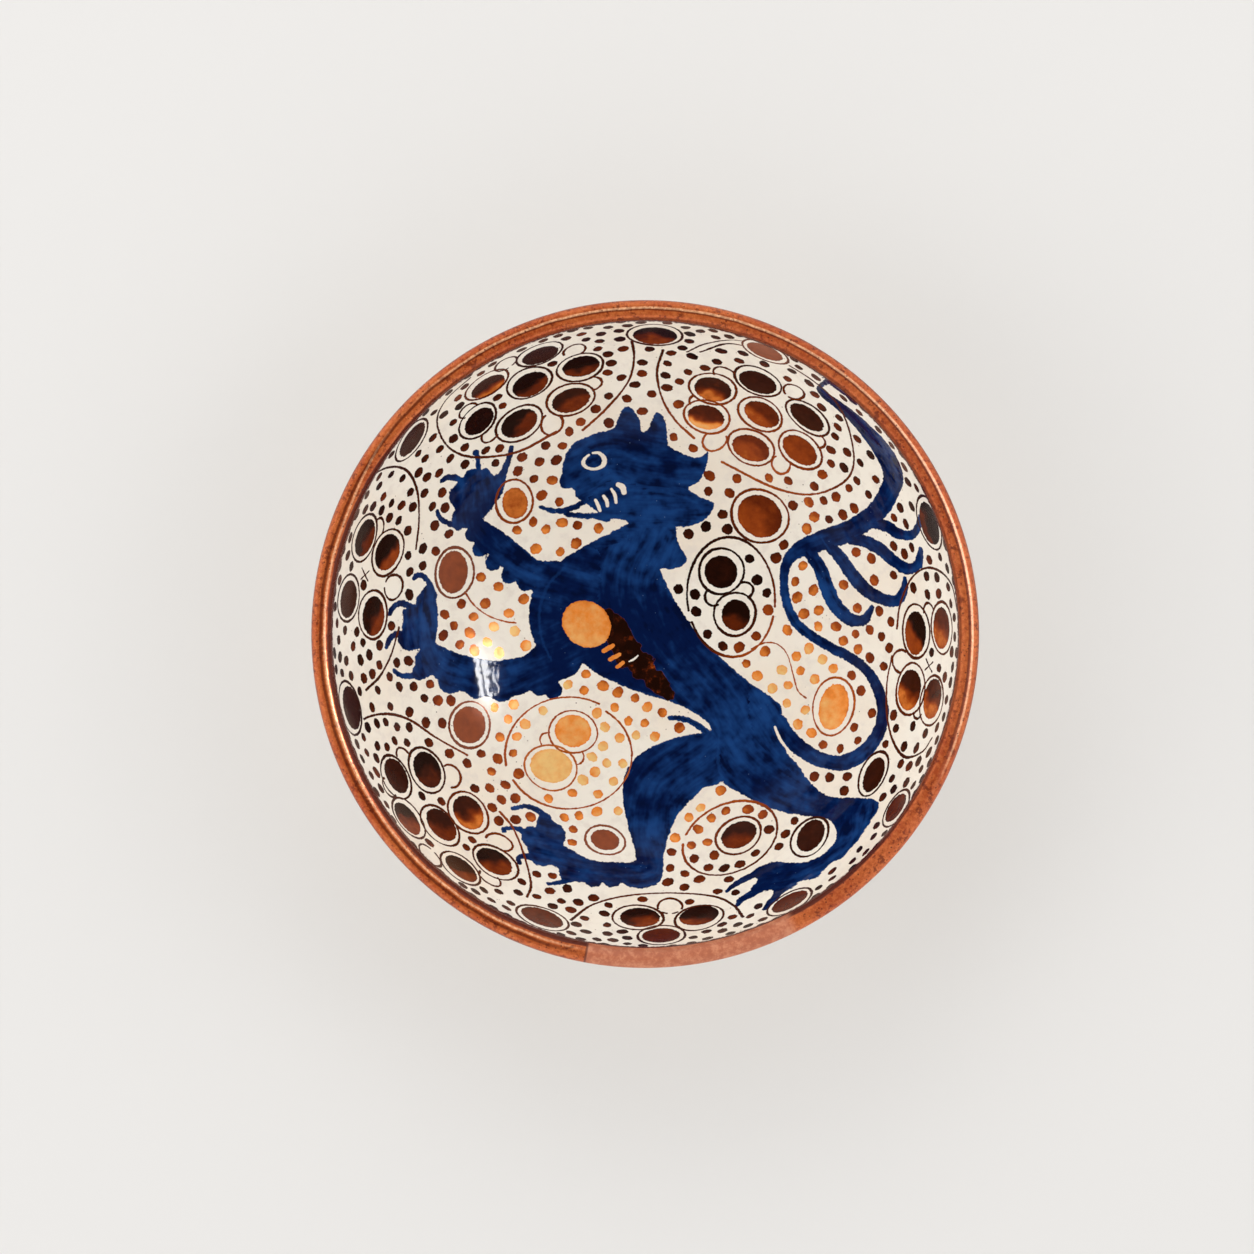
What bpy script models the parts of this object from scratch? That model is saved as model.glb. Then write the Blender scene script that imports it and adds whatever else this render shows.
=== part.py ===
"""A footed earthenware bowl with a rolled lip, turned as one solid.

Metres, +Z up. The origin is at the centre of the foot ring's underside. +Y points to the side
of the bowl that is the top of its painted picture.
"""

from math import cos, pi, radians, sin

import bpy

# The lip: a round roll that stands a little proud of the wall outside.
RIM_DIAMETER = 0.330
LIP_WIDTH = 0.010
LIP_SLOPE = radians(79)
LIP_ROLL_END = radians(-38)
LIP_COVE_REACH = 0.0035

# The inside: a broad floor that turns into a steep, tighter wall.
FLOOR_ARC_RADIUS = 0.228
FLOOR_ARC_END = radians(21.5)

# The clay: thinner under the lip than in the middle of the floor.
CLAY_AT_LIP = 0.0072
CLAY_AT_MIDDLE = 0.0096
WALL_STARTS = radians(74)

# The foot ring and the turned hollow that it stands round.
FOOT_DIAMETER = 0.116
FOOT_BAND = 0.0085
FOOT_FLARE = 0.0015
FOOT_ROUND = 0.0016
HOLLOW_AT_MIDDLE = 0.0056
HOLLOW_AT_RING = 0.0048

# How finely the curves are divided.
TURN_STEPS = 80
FLOOR_STEPS = 5
WALL_STEPS = 11
LIP_TOP_STEPS = 7
LIP_UNDER_STEPS = 2
COVE_STEPS = 3
OUTSIDE_STEPS = 11
ROUND_STEPS = 2
MERGE = 0.00001

RIM_RADIUS = RIM_DIAMETER / 2
FOOT_RADIUS = FOOT_DIAMETER / 2
MOUTH_RADIUS = RIM_RADIUS - LIP_WIDTH
FLOOR_HEIGHT = HOLLOW_AT_MIDDLE + CLAY_AT_MIDDLE
LIP_ROLL_RADIUS = LIP_WIDTH / (1 + sin(LIP_SLOPE))
WALL_ARC_RADIUS = (MOUTH_RADIUS - FLOOR_ARC_RADIUS * sin(FLOOR_ARC_END)) / (
    sin(LIP_SLOPE) - sin(FLOOR_ARC_END)
)

CREAM_GLAZE = (0.74, 0.69, 0.61, 1.0)


def shares(steps, first=0):
    """Even shares of 0 to 1, from the given step on."""
    return [i / steps for i in range(first, steps + 1)]


def inside_point(slope):
    """The point of the inside, as (radius, height), where its slope is this angle."""
    if slope <= FLOOR_ARC_END:
        return FLOOR_ARC_RADIUS * sin(slope), FLOOR_HEIGHT + FLOOR_ARC_RADIUS * (1 - cos(slope))
    r, z = inside_point(FLOOR_ARC_END)
    return (
        r + WALL_ARC_RADIUS * (sin(slope) - sin(FLOOR_ARC_END)),
        z + WALL_ARC_RADIUS * (cos(FLOOR_ARC_END) - cos(slope)),
    )


def wall_thickness(slope):
    """The clay grows evenly thicker from the lip down to the middle."""
    share = slope / LIP_SLOPE
    return CLAY_AT_MIDDLE + (CLAY_AT_LIP - CLAY_AT_MIDDLE) * share


def outside_point(slope):
    """The point of the outside straight across the wall from inside_point(slope)."""
    r, z = inside_point(slope)
    thick = wall_thickness(slope)
    return r + thick * sin(slope), z - thick * cos(slope)


def inside_profile():
    """From the middle of the floor up to the lip's inner edge."""
    floor = [inside_point(s * FLOOR_ARC_END) for s in shares(FLOOR_STEPS)]
    wall = [
        inside_point(FLOOR_ARC_END + s * (LIP_SLOPE - FLOOR_ARC_END))
        for s in shares(WALL_STEPS, 1)
    ]
    return floor + wall


def lip_centre():
    """The centre of the roll, which the inside wall runs into without a corner."""
    r, z = inside_point(LIP_SLOPE)
    return r + LIP_ROLL_RADIUS * sin(LIP_SLOPE), z - LIP_ROLL_RADIUS * cos(LIP_SLOPE)


def lip_profile():
    """Over the roll, from the inner edge to where the cove under it begins."""
    r, z = lip_centre()
    start = pi / 2 + LIP_SLOPE
    over = [start * (1 - s) for s in shares(LIP_TOP_STEPS, 1)]
    under = [s * LIP_ROLL_END for s in shares(LIP_UNDER_STEPS, 1)]
    return [(r + LIP_ROLL_RADIUS * cos(a), z + LIP_ROLL_RADIUS * sin(a)) for a in over + under]


def curve_between(start, start_way, end, end_way, reach, steps):
    """Points inside a smooth cubic curve between two points, with its direction at both."""
    (ar, az), (br, bz) = start, end
    cr, cz = ar + reach * start_way[0], az + reach * start_way[1]
    dr, dz = br - reach * end_way[0], bz - reach * end_way[1]
    points = []
    for t in shares(steps, 1)[:-1]:
        u = 1 - t
        weights = u**3, 3 * u * u * t, 3 * u * t * t, t**3
        points.append(
            (
                sum(w * x for w, x in zip(weights, (ar, cr, dr, br))),
                sum(w * x for w, x in zip(weights, (az, cz, dz, bz))),
            )
        )
    return points


def cove_profile():
    """The hollow under the roll, which leads into the outside wall."""
    leaves = sin(LIP_ROLL_END), -cos(LIP_ROLL_END)
    joins = -cos(WALL_STARTS), -sin(WALL_STARTS)
    return curve_between(
        lip_profile()[-1], leaves, outside_point(WALL_STARTS), joins, LIP_COVE_REACH, COVE_STEPS
    )


def slope_at_foot():
    """The slope at which the outside wall reaches the foot ring, found by halving."""
    low, high = 0.0, WALL_STARTS
    for _ in range(40):
        middle = (low + high) / 2
        if outside_point(middle)[0] < FOOT_RADIUS:
            low = middle
        else:
            high = middle
    return high


def outside_profile():
    """Down the outside wall to the foot ring."""
    foot = slope_at_foot()
    return [
        outside_point(WALL_STARTS + s * (foot - WALL_STARTS)) for s in shares(OUTSIDE_STEPS)
    ]


def rounded(r, z, first, last):
    """A small quarter round about the centre (r, z), between two directions."""
    turns = [first + s * (last - first) for s in shares(ROUND_STEPS)]
    return [(r + FOOT_ROUND * cos(a), z + FOOT_ROUND * sin(a)) for a in turns]


def foot_profile():
    """Down the ring's outer side, under it, and up to the hollow inside."""
    outer = FOOT_RADIUS + FOOT_FLARE
    inner = FOOT_RADIUS - FOOT_BAND
    return (
        rounded(outer - FOOT_ROUND, FOOT_ROUND, 0, -pi / 2)
        + rounded(inner + FOOT_ROUND, FOOT_ROUND, -pi / 2, -pi)
        + [(inner - FOOT_FLARE, HOLLOW_AT_RING), (0.0, HOLLOW_AT_MIDDLE)]
    )


def bowl_profile():
    """The whole outline at +X: up the inside, over the lip, down the outside and under."""
    return (
        inside_profile()
        + lip_profile()
        + cove_profile()
        + outside_profile()
        + foot_profile()
    )


def glaze_material():
    """Cream tin glaze, smooth and not metallic."""
    material = bpy.data.materials.new("cream_glaze")
    material.use_nodes = True
    shader = material.node_tree.nodes["Principled BSDF"]
    shader.inputs["Base Color"].default_value = CREAM_GLAZE
    shader.inputs["Roughness"].default_value = 0.22
    shader.inputs["Metallic"].default_value = 0.0
    return material


def turn(name, profile, material, collection):
    """A solid of revolution about Z from an outline given as (radius, height)."""
    mesh = bpy.data.meshes.new(name)
    points = [(r, 0.0, z) for r, z in profile]
    mesh.from_pydata(points, [(i, i + 1) for i in range(len(points) - 1)], [])
    solid = bpy.data.objects.new(name, mesh)
    collection.objects.link(solid)
    mesh.materials.append(material)
    screw = solid.modifiers.new("turned", "SCREW")
    screw.axis = "Z"
    screw.angle = 2 * pi
    screw.steps = screw.render_steps = TURN_STEPS
    screw.use_merge_vertices = True
    screw.merge_threshold = MERGE
    screw.use_smooth_shade = True
    return solid


def main():
    """Builds the bowl in an empty scene."""
    for old in list(bpy.data.objects):
        bpy.data.objects.remove(old)
    collection = bpy.data.collections.new("bowl_parts")
    bpy.context.scene.collection.children.link(collection)
    turn("bowl", bowl_profile(), glaze_material(), collection)


main()
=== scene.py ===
"""The looks of a lustred bowl: its turned form, its painted picture, its glaze and its lip.

The painting is worked out on the bowl's own surface. Every mark is a brush stroke, a filled
round or a closed outline that is named by where it stands in the view into the bowl. The mesh
carries each mark as exact local coordinates at the corners of its faces, and the glaze's
material turns those into crisp painted edges.
"""

import logging
from collections.abc import Callable, Iterable, Sequence
from dataclasses import dataclass, field
from enum import Enum
from math import atan2, cos, hypot, pi, radians, sin

import bpy
import numpy as np
from bpy.types import Material, Mesh, Node, NodeSocket, Object
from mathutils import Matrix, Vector, kdtree


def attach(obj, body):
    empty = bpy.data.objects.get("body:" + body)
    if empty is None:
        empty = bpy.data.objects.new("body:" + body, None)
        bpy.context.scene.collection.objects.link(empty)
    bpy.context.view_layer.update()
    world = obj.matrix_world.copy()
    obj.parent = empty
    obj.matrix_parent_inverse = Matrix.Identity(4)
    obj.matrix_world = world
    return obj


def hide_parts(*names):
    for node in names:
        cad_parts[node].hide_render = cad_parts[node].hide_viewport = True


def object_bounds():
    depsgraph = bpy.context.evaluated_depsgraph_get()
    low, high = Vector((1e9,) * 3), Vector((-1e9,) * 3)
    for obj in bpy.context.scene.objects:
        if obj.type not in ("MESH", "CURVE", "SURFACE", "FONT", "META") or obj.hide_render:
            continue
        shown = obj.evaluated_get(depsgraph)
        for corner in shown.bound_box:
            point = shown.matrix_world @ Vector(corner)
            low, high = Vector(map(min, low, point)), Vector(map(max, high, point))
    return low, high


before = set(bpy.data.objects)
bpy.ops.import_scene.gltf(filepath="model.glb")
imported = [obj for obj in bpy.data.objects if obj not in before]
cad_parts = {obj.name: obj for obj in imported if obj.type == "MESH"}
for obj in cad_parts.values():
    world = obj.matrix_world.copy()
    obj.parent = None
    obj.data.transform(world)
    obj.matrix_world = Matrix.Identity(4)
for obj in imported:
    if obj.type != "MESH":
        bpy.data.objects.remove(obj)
CAD_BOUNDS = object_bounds()

logging.basicConfig(level=logging.INFO, format="%(relativeCreated)6d ms  %(message)s")
log = logging.getLogger("bowl")

Colour = tuple[float, float, float]
Pixel = tuple[float, float]
Array = np.ndarray

MM = 0.001
FAR = 99.0


def srgb(red: float, green: float, blue: float) -> Colour:
    """A linear colour from one that is given as a screen shows it, 0 to 255."""
    shares = [value / 255 for value in (red, green, blue)]
    return tuple(s / 12.92 if s <= 0.04045 else ((s + 0.055) / 1.055) ** 2.4 for s in shares)


class LustreTone(Enum):
    """The lustre's tone, from 0 for near black to 1 for bright gold. It is partly how the film came out of
    the kiln and partly painted reflection: darker on the steep walls and brighter on the floor where the
    lights' reflections fall.
    """

    BLACK = 0.03
    DARK = 0.15
    BROWN = 0.32
    PINK = 0.50
    RUSSET = 0.52
    COPPER = 0.68
    ORANGE = 0.85
    GOLD = 0.97


class Slot(Enum):
    """The material slots of the bowl's mesh, in order."""

    DECORATED = 0
    LIP = 1
    OUTSIDE = 2
    CLAY = 3


@dataclass(frozen=True)
class BowlForm:
    """The turned outline, in metres, with heights above the foot's underside.

    The rim's size and the top come from model.glb's bounds. The rest repeats the solid's dimensions.
    """

    rim_radius: float
    lip_width: float = 0.010
    lip_slope: float = radians(79)
    roll_end: float = radians(-38)
    cove_reach: float = 0.0035
    floor_arc_radius: float = 0.228
    floor_arc_end: float = radians(21.5)
    clay_at_lip: float = 0.0072
    clay_at_middle: float = 0.0096
    wall_starts: float = radians(74)
    foot_diameter: float = 0.116
    foot_band: float = 0.0085
    foot_flare: float = 0.0015
    foot_round: float = 0.0016
    hollow_at_middle: float = 0.0056
    hollow_at_ring: float = 0.0048

    @property
    def mouth_radius(self) -> float:
        """Where the wall meets the lip inside."""
        return self.rim_radius - self.lip_width

    @property
    def floor_height(self) -> float:
        """The height of the middle of the floor."""
        return self.hollow_at_middle + self.clay_at_middle

    @property
    def floor_edge(self) -> float:
        """The radius where the floor's arc gives way to the wall's."""
        return self.floor_arc_radius * sin(self.floor_arc_end)

    @property
    def wall_arc_radius(self) -> float:
        """The radius of the wall's arc, from floor edge to lip."""
        return (self.mouth_radius - self.floor_edge) / (sin(self.lip_slope) - sin(self.floor_arc_end))

    @property
    def roll_radius(self) -> float:
        """The radius of the lip's roll."""
        return self.lip_width / (1 + sin(self.lip_slope))

    @property
    def roll_start(self) -> float:
        """The direction, seen from the roll's centre, in which the wall runs into it."""
        return pi / 2 + self.lip_slope

    def inside(self, slope: float) -> tuple[float, float]:
        """The (radius, height) of the inside where it slopes by this angle."""
        if slope <= self.floor_arc_end:
            radius = self.floor_arc_radius
            return radius * sin(slope), self.floor_height + radius * (1 - cos(slope))
        r, z = self.inside(self.floor_arc_end)
        return (
            r + self.wall_arc_radius * (sin(slope) - sin(self.floor_arc_end)),
            z + self.wall_arc_radius * (cos(self.floor_arc_end) - cos(slope)),
        )

    def outside(self, slope: float) -> tuple[float, float]:
        """The (radius, height) straight across the wall from the inside's point."""
        r, z = self.inside(slope)
        thick = self.clay_at_middle + (self.clay_at_lip - self.clay_at_middle) * slope / self.lip_slope
        return r + thick * sin(slope), z - thick * cos(slope)

    def roll_centre(self) -> tuple[float, float]:
        """The (radius, height) of the centre of the lip's roll."""
        r, z = self.inside(self.lip_slope)
        return r + self.roll_radius * sin(self.lip_slope), z - self.roll_radius * cos(self.lip_slope)

    def roll(self, angle: float) -> tuple[float, float]:
        """The (radius, height) on the roll in this direction from its centre."""
        r, z = self.roll_centre()
        return r + self.roll_radius * cos(angle), z + self.roll_radius * sin(angle)

    def slope_at(self, radius: Array) -> Array:
        """The inside's slope at these radii."""
        r_edge = self.floor_edge
        on_floor = np.clip(radius, 0, r_edge) / self.floor_arc_radius
        on_wall = sin(self.floor_arc_end) + np.clip(radius - r_edge, 0, None) / self.wall_arc_radius
        sine = np.where(radius <= r_edge, on_floor, np.clip(on_wall, 0, sin(self.lip_slope)))
        return np.arcsin(sine)

    def height_at(self, radius: Array) -> Array:
        """The inside's height at these radii."""
        slope = self.slope_at(radius)
        on_floor = self.floor_height + self.floor_arc_radius * (1 - np.cos(slope))
        edge_height = self.inside(self.floor_arc_end)[1]
        on_wall = edge_height + self.wall_arc_radius * (cos(self.floor_arc_end) - np.cos(slope))
        return np.where(radius <= self.floor_edge, on_floor, on_wall)

    def run_at_slope(self, slope: Array) -> Array:
        """The length of the inside's outline from the middle to where it slopes by this."""
        on_floor = self.floor_arc_radius * np.minimum(slope, self.floor_arc_end)
        return on_floor + self.wall_arc_radius * np.clip(slope - self.floor_arc_end, 0, None)

    def slope_at_run(self, run: Array) -> Array:
        """The slope at a length along the outline from the middle."""
        floor_run = self.floor_arc_radius * self.floor_arc_end
        on_wall = self.floor_arc_end + (run - floor_run) / self.wall_arc_radius
        return np.where(run <= floor_run, run / self.floor_arc_radius, on_wall)

    def slope_at_foot(self) -> float:
        """The slope at which the outside reaches the foot ring, found by halving."""
        low, high = 0.0, self.wall_starts
        for _ in range(40):
            middle = (low + high) / 2
            if self.outside(middle)[0] < self.foot_diameter / 2:
                low = middle
            else:
                high = middle
        return high


@dataclass(frozen=True)
class View:
    """How the photograph looks into the bowl: straight down its axis, with a long lens."""

    form: BowlForm
    image_size: float = 1254
    rim_centre: Pixel = (645.2, 634.0)
    rim_pixels: float = 334.0
    distance: float = 2.4
    sensor: float = 36.0
    lift_rounds: int = 12
    off_lip: float = 0.2 * MM

    @property
    def focal_pixels(self) -> float:
        """The focal length, in the photograph's pixels."""
        return self.rim_pixels * self.distance / self.form.rim_radius

    @property
    def focal_length(self) -> float:
        """The focal length in millimetres."""
        return self.focal_pixels * self.sensor / self.image_size

    @property
    def camera_place(self) -> Vector:
        """The camera's place, beside the axis by as much as the bowl is off centre."""
        middle = self.image_size / 2
        scale = self.distance / self.focal_pixels
        dx = (middle - self.rim_centre[0]) * scale
        dy = (self.rim_centre[1] - middle) * scale
        return Vector((dx, dy, self.form.roll_centre()[1] + self.distance))

    def lift(self, pixels: Array) -> Array:
        """The points of the inside that the photograph shows at these pixels.

        Args:
            pixels: An array of (x, y), y down, in the photograph's frame.

        Returns:
            An array of points in metres.
        """
        camera = self.camera_place
        way = (np.asarray(pixels, float) - self.image_size / 2) / self.focal_pixels * (1, -1)
        height = np.full(len(way), self.form.floor_height)
        for _ in range(self.lift_rounds):
            plan = way * (camera.z - height)[:, None] + (camera.x, camera.y)
            radius = np.hypot(plan[:, 0], plan[:, 1])
            height = self.form.height_at(radius)
        inside = np.minimum(1, (self.form.mouth_radius - self.off_lip) / np.maximum(radius, 1e-9))
        plan *= inside[:, None]
        return np.column_stack([plan, self.form.height_at(radius * inside)])

    def pixels_of(self, points: Array) -> Array:
        """The pixels at which the photograph shows these points."""
        camera = self.camera_place
        depth = camera.z - points[:, 2]
        plan = (points[:, :2] - (camera.x, camera.y)) * (1, -1)
        return plan / depth[:, None] * self.focal_pixels + self.image_size / 2


def run_along(points: Array) -> Array:
    """How far along a line of points each of them lies."""
    return np.append(0, np.cumsum(np.linalg.norm(np.diff(points, axis=0), axis=1)))


def unit(vectors: Array) -> Array:
    """The same directions, one long."""
    return vectors / np.maximum(np.linalg.norm(vectors, axis=-1, keepdims=True), 1e-12)


@dataclass(frozen=True)
class Surface:
    """The inside as a place to paint on."""

    form: BowlForm
    view: View

    def normals(self, points: Array) -> Array:
        """The directions out of the glaze, towards the bowl's axis, at these points."""
        radius = np.hypot(points[:, 0], points[:, 1])
        slope = self.form.slope_at(radius)
        inward = -points[:, :2] / np.maximum(radius, 1e-9)[:, None]
        return np.column_stack([inward * np.sin(slope)[:, None], np.cos(slope)])

    def axes(self, points: Array) -> tuple[Array, Array]:
        """Two directions along the glaze at these points, seen as right and as up."""
        normal = self.normals(points)
        up = unit(np.cross(normal, np.array([1.0, 0.0, 0.0])))
        return np.cross(up, normal), up

    def foreshortening(self, points: Array, ways: Array) -> Array:
        """How much narrower a stroke that runs this way looks than it is."""
        radius = np.hypot(points[:, 0], points[:, 1])
        outward = points[:, :2] / np.maximum(radius, 1e-9)[:, None]
        seen = unit(ways[:, :2])
        along = np.sum(seen * outward, axis=1)
        squeeze = np.cos(self.form.slope_at(radius))
        return np.sqrt(along**2 + squeeze**2 * (1 - along**2))


def smooth_line(points: Sequence[Sequence[float]], closed: bool = False, steps: int = 8) -> Array:
    """A smooth line through given points of any number of coordinates.

    Args:
        points: The points that the line runs through.
        closed: Whether it runs back to its first point.
        steps: How many stretches each span is cut into.

    Returns:
        The line as an array of points.
    """
    given = np.asarray(points, float)
    if closed:
        padded = np.vstack([given[-1:], given, given[:2]])
    else:
        padded = np.vstack([2 * given[0] - given[1], given, 2 * given[-1] - given[-2]])
    line = []
    for a, b, c, d in zip(padded, padded[1:], padded[2:], padded[3:]):
        for t in np.arange(steps) / steps:
            bend = (2 * a - 5 * b + 4 * c - d) * t**2
            twist = (3 * b - a - 3 * c + d) * t**3
            line.append(0.5 * (2 * b + (c - a) * t + bend + twist))
    if not closed:
        line.append(given[-1])
    return np.array(line)


def arc(centre: Pixel, size: Pixel, start: float, end: float, tilt: float = 0, steps: int = 24) -> Array:
    """Part of an ellipse, with its angles counter-clockwise from the picture's right.

    Args:
        centre: The ellipse's centre, a pixel.
        size: Its half width and half height, in pixels.
        start: Where it starts, in degrees.
        end: Where it ends, in degrees.
        tilt: How far it is turned, in degrees.
        steps: How many stretches it is cut into.
    """
    angles = np.radians(np.linspace(start, end, steps + 1))
    x, y = size[0] * np.cos(angles), size[1] * np.sin(angles)
    turn = radians(tilt)
    return np.column_stack(
        [centre[0] + x * cos(turn) - y * sin(turn), centre[1] - x * sin(turn) - y * cos(turn)]
    )


@dataclass
class Stroke:
    """One brush stroke along a line on the surface.

    Attributes:
        line: Its line, in pixels of the view.
        width: Its true half width in millimetres, one number or one for each point.
        tone: What it carries: the lustre's tone, with its painted reflection, or how strong a paler stroke
            is.
        closed: Whether it runs back to its start.
        seen: Whether the width is as the view shows it and not as it lies on the surface.
    """

    line: Array
    width: float | Array
    tone: float | Array = 0.5
    closed: bool = False
    seen: bool = False


@dataclass
class StrokeSamples:
    """A stroke as closely spaced points on the surface, ready to be looked up."""

    places: Array
    ways: Array
    across: Array
    widths: Array
    tones: Array
    ends: Array

    def gap_to(self, other: "StrokeSamples", step: int, from_edges: bool) -> float:
        """How near the other stroke comes, in metres, from line to line or from edge to edge."""
        gaps = np.linalg.norm(self.places[::step, None] - other.places[None, ::step], axis=2)
        if from_edges:
            gaps = gaps - (self.widths[::step, None] + other.widths[None, ::step]) * MM
        return float(gaps.min())


def joined(strokes: Sequence[StrokeSamples], *names: str) -> tuple[Array, ...]:
    """The named arrays of all strokes, each as one array."""
    return tuple(np.concatenate([getattr(laid, name) for laid in strokes]) for name in names)


def share_out(
    strokes: Iterable[StrokeSamples], gap: float, step: int, from_edges: bool = False
) -> list[list[StrokeSamples]]:
    """Shares strokes out in layers so that in one layer none comes near another.

    Args:
        strokes: The strokes, in order.
        gap: How far apart the strokes of one layer stay, in metres.
        step: Every how many samples the strokes are compared.
        from_edges: Whether the gap is from edge to edge and not from line to line.
    """
    layers: list[list[StrokeSamples]] = []
    for laid in strokes:
        for layer in layers:
            if all(laid.gap_to(other, step, from_edges) > gap for other in layer):
                layer.append(laid)
                break
        else:
            layers.append([laid])
    return layers


class Brush:
    """Lays strokes on the surface and finds what lies nearest to any place."""

    spacing = 0.6 * MM

    def __init__(self, surface: Surface) -> None:
        """Keeps the surface that it paints on."""
        self.surface = surface

    def samples(self, stroke: Stroke) -> StrokeSamples:
        """The stroke as evenly spaced points on the surface, with its direction at each."""
        line = np.asarray(stroke.line, float)
        widths = np.broadcast_to(np.asarray(stroke.width, float), len(line)).copy()
        tones = np.broadcast_to(np.asarray(stroke.tone, float), len(line)).copy()
        if stroke.closed:
            line = np.vstack([line, line[:1]])
            widths, tones = np.append(widths, widths[0]), np.append(tones, tones[0])
        rough = self.surface.view.lift(line)
        lengths = run_along(rough)
        count = max(3, int(lengths[-1] / self.spacing) + 1)
        at = np.linspace(0, lengths[-1], count)
        fine = np.column_stack([np.interp(at, lengths, line[:, i]) for i in range(2)])
        places = self.surface.view.lift(fine)
        ways = unit(np.gradient(places, axis=0))
        widths, tones = np.interp(at, lengths, widths), np.interp(at, lengths, tones)
        if stroke.closed:
            ways[0] = ways[-1] = unit(ways[0] + ways[-1])
        if stroke.seen:
            widths = widths / self.surface.foreshortening(places, ways)
        across = np.cross(self.surface.normals(places), ways)
        ends = np.zeros(count)
        if not stroke.closed:
            ends[0], ends[-1] = -1, 1
        return StrokeSamples(places, ways, across, widths, tones, ends)

    def all_samples(self, strokes: Iterable[Stroke]) -> list[StrokeSamples]:
        """The samples of each stroke."""
        return [self.samples(stroke) for stroke in strokes]


MATT = -1.0


@dataclass
class Disc:
    """A lustred disc with a ring round it.

    Attributes:
        at: Its centre, a pixel.
        tone: Its lustre tone, which carries painted reflection as well as the firing.
        size: Its true width and height in millimetres.
        tilt: How far it is turned, in degrees.
        shade: How strongly painted reflection darkens its upper part and lights its lower side towards the
            bowl's middle, from 0 to 1, or MATT for a dull pink film.
        gap: The clear band between the disc and its ring, in millimetres.
    """

    at: Pixel
    tone: LustreTone
    size: tuple[float, float] = (18.5, 18.5)
    tilt: float = 0
    shade: float = 0
    gap: float = 1.9


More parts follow.
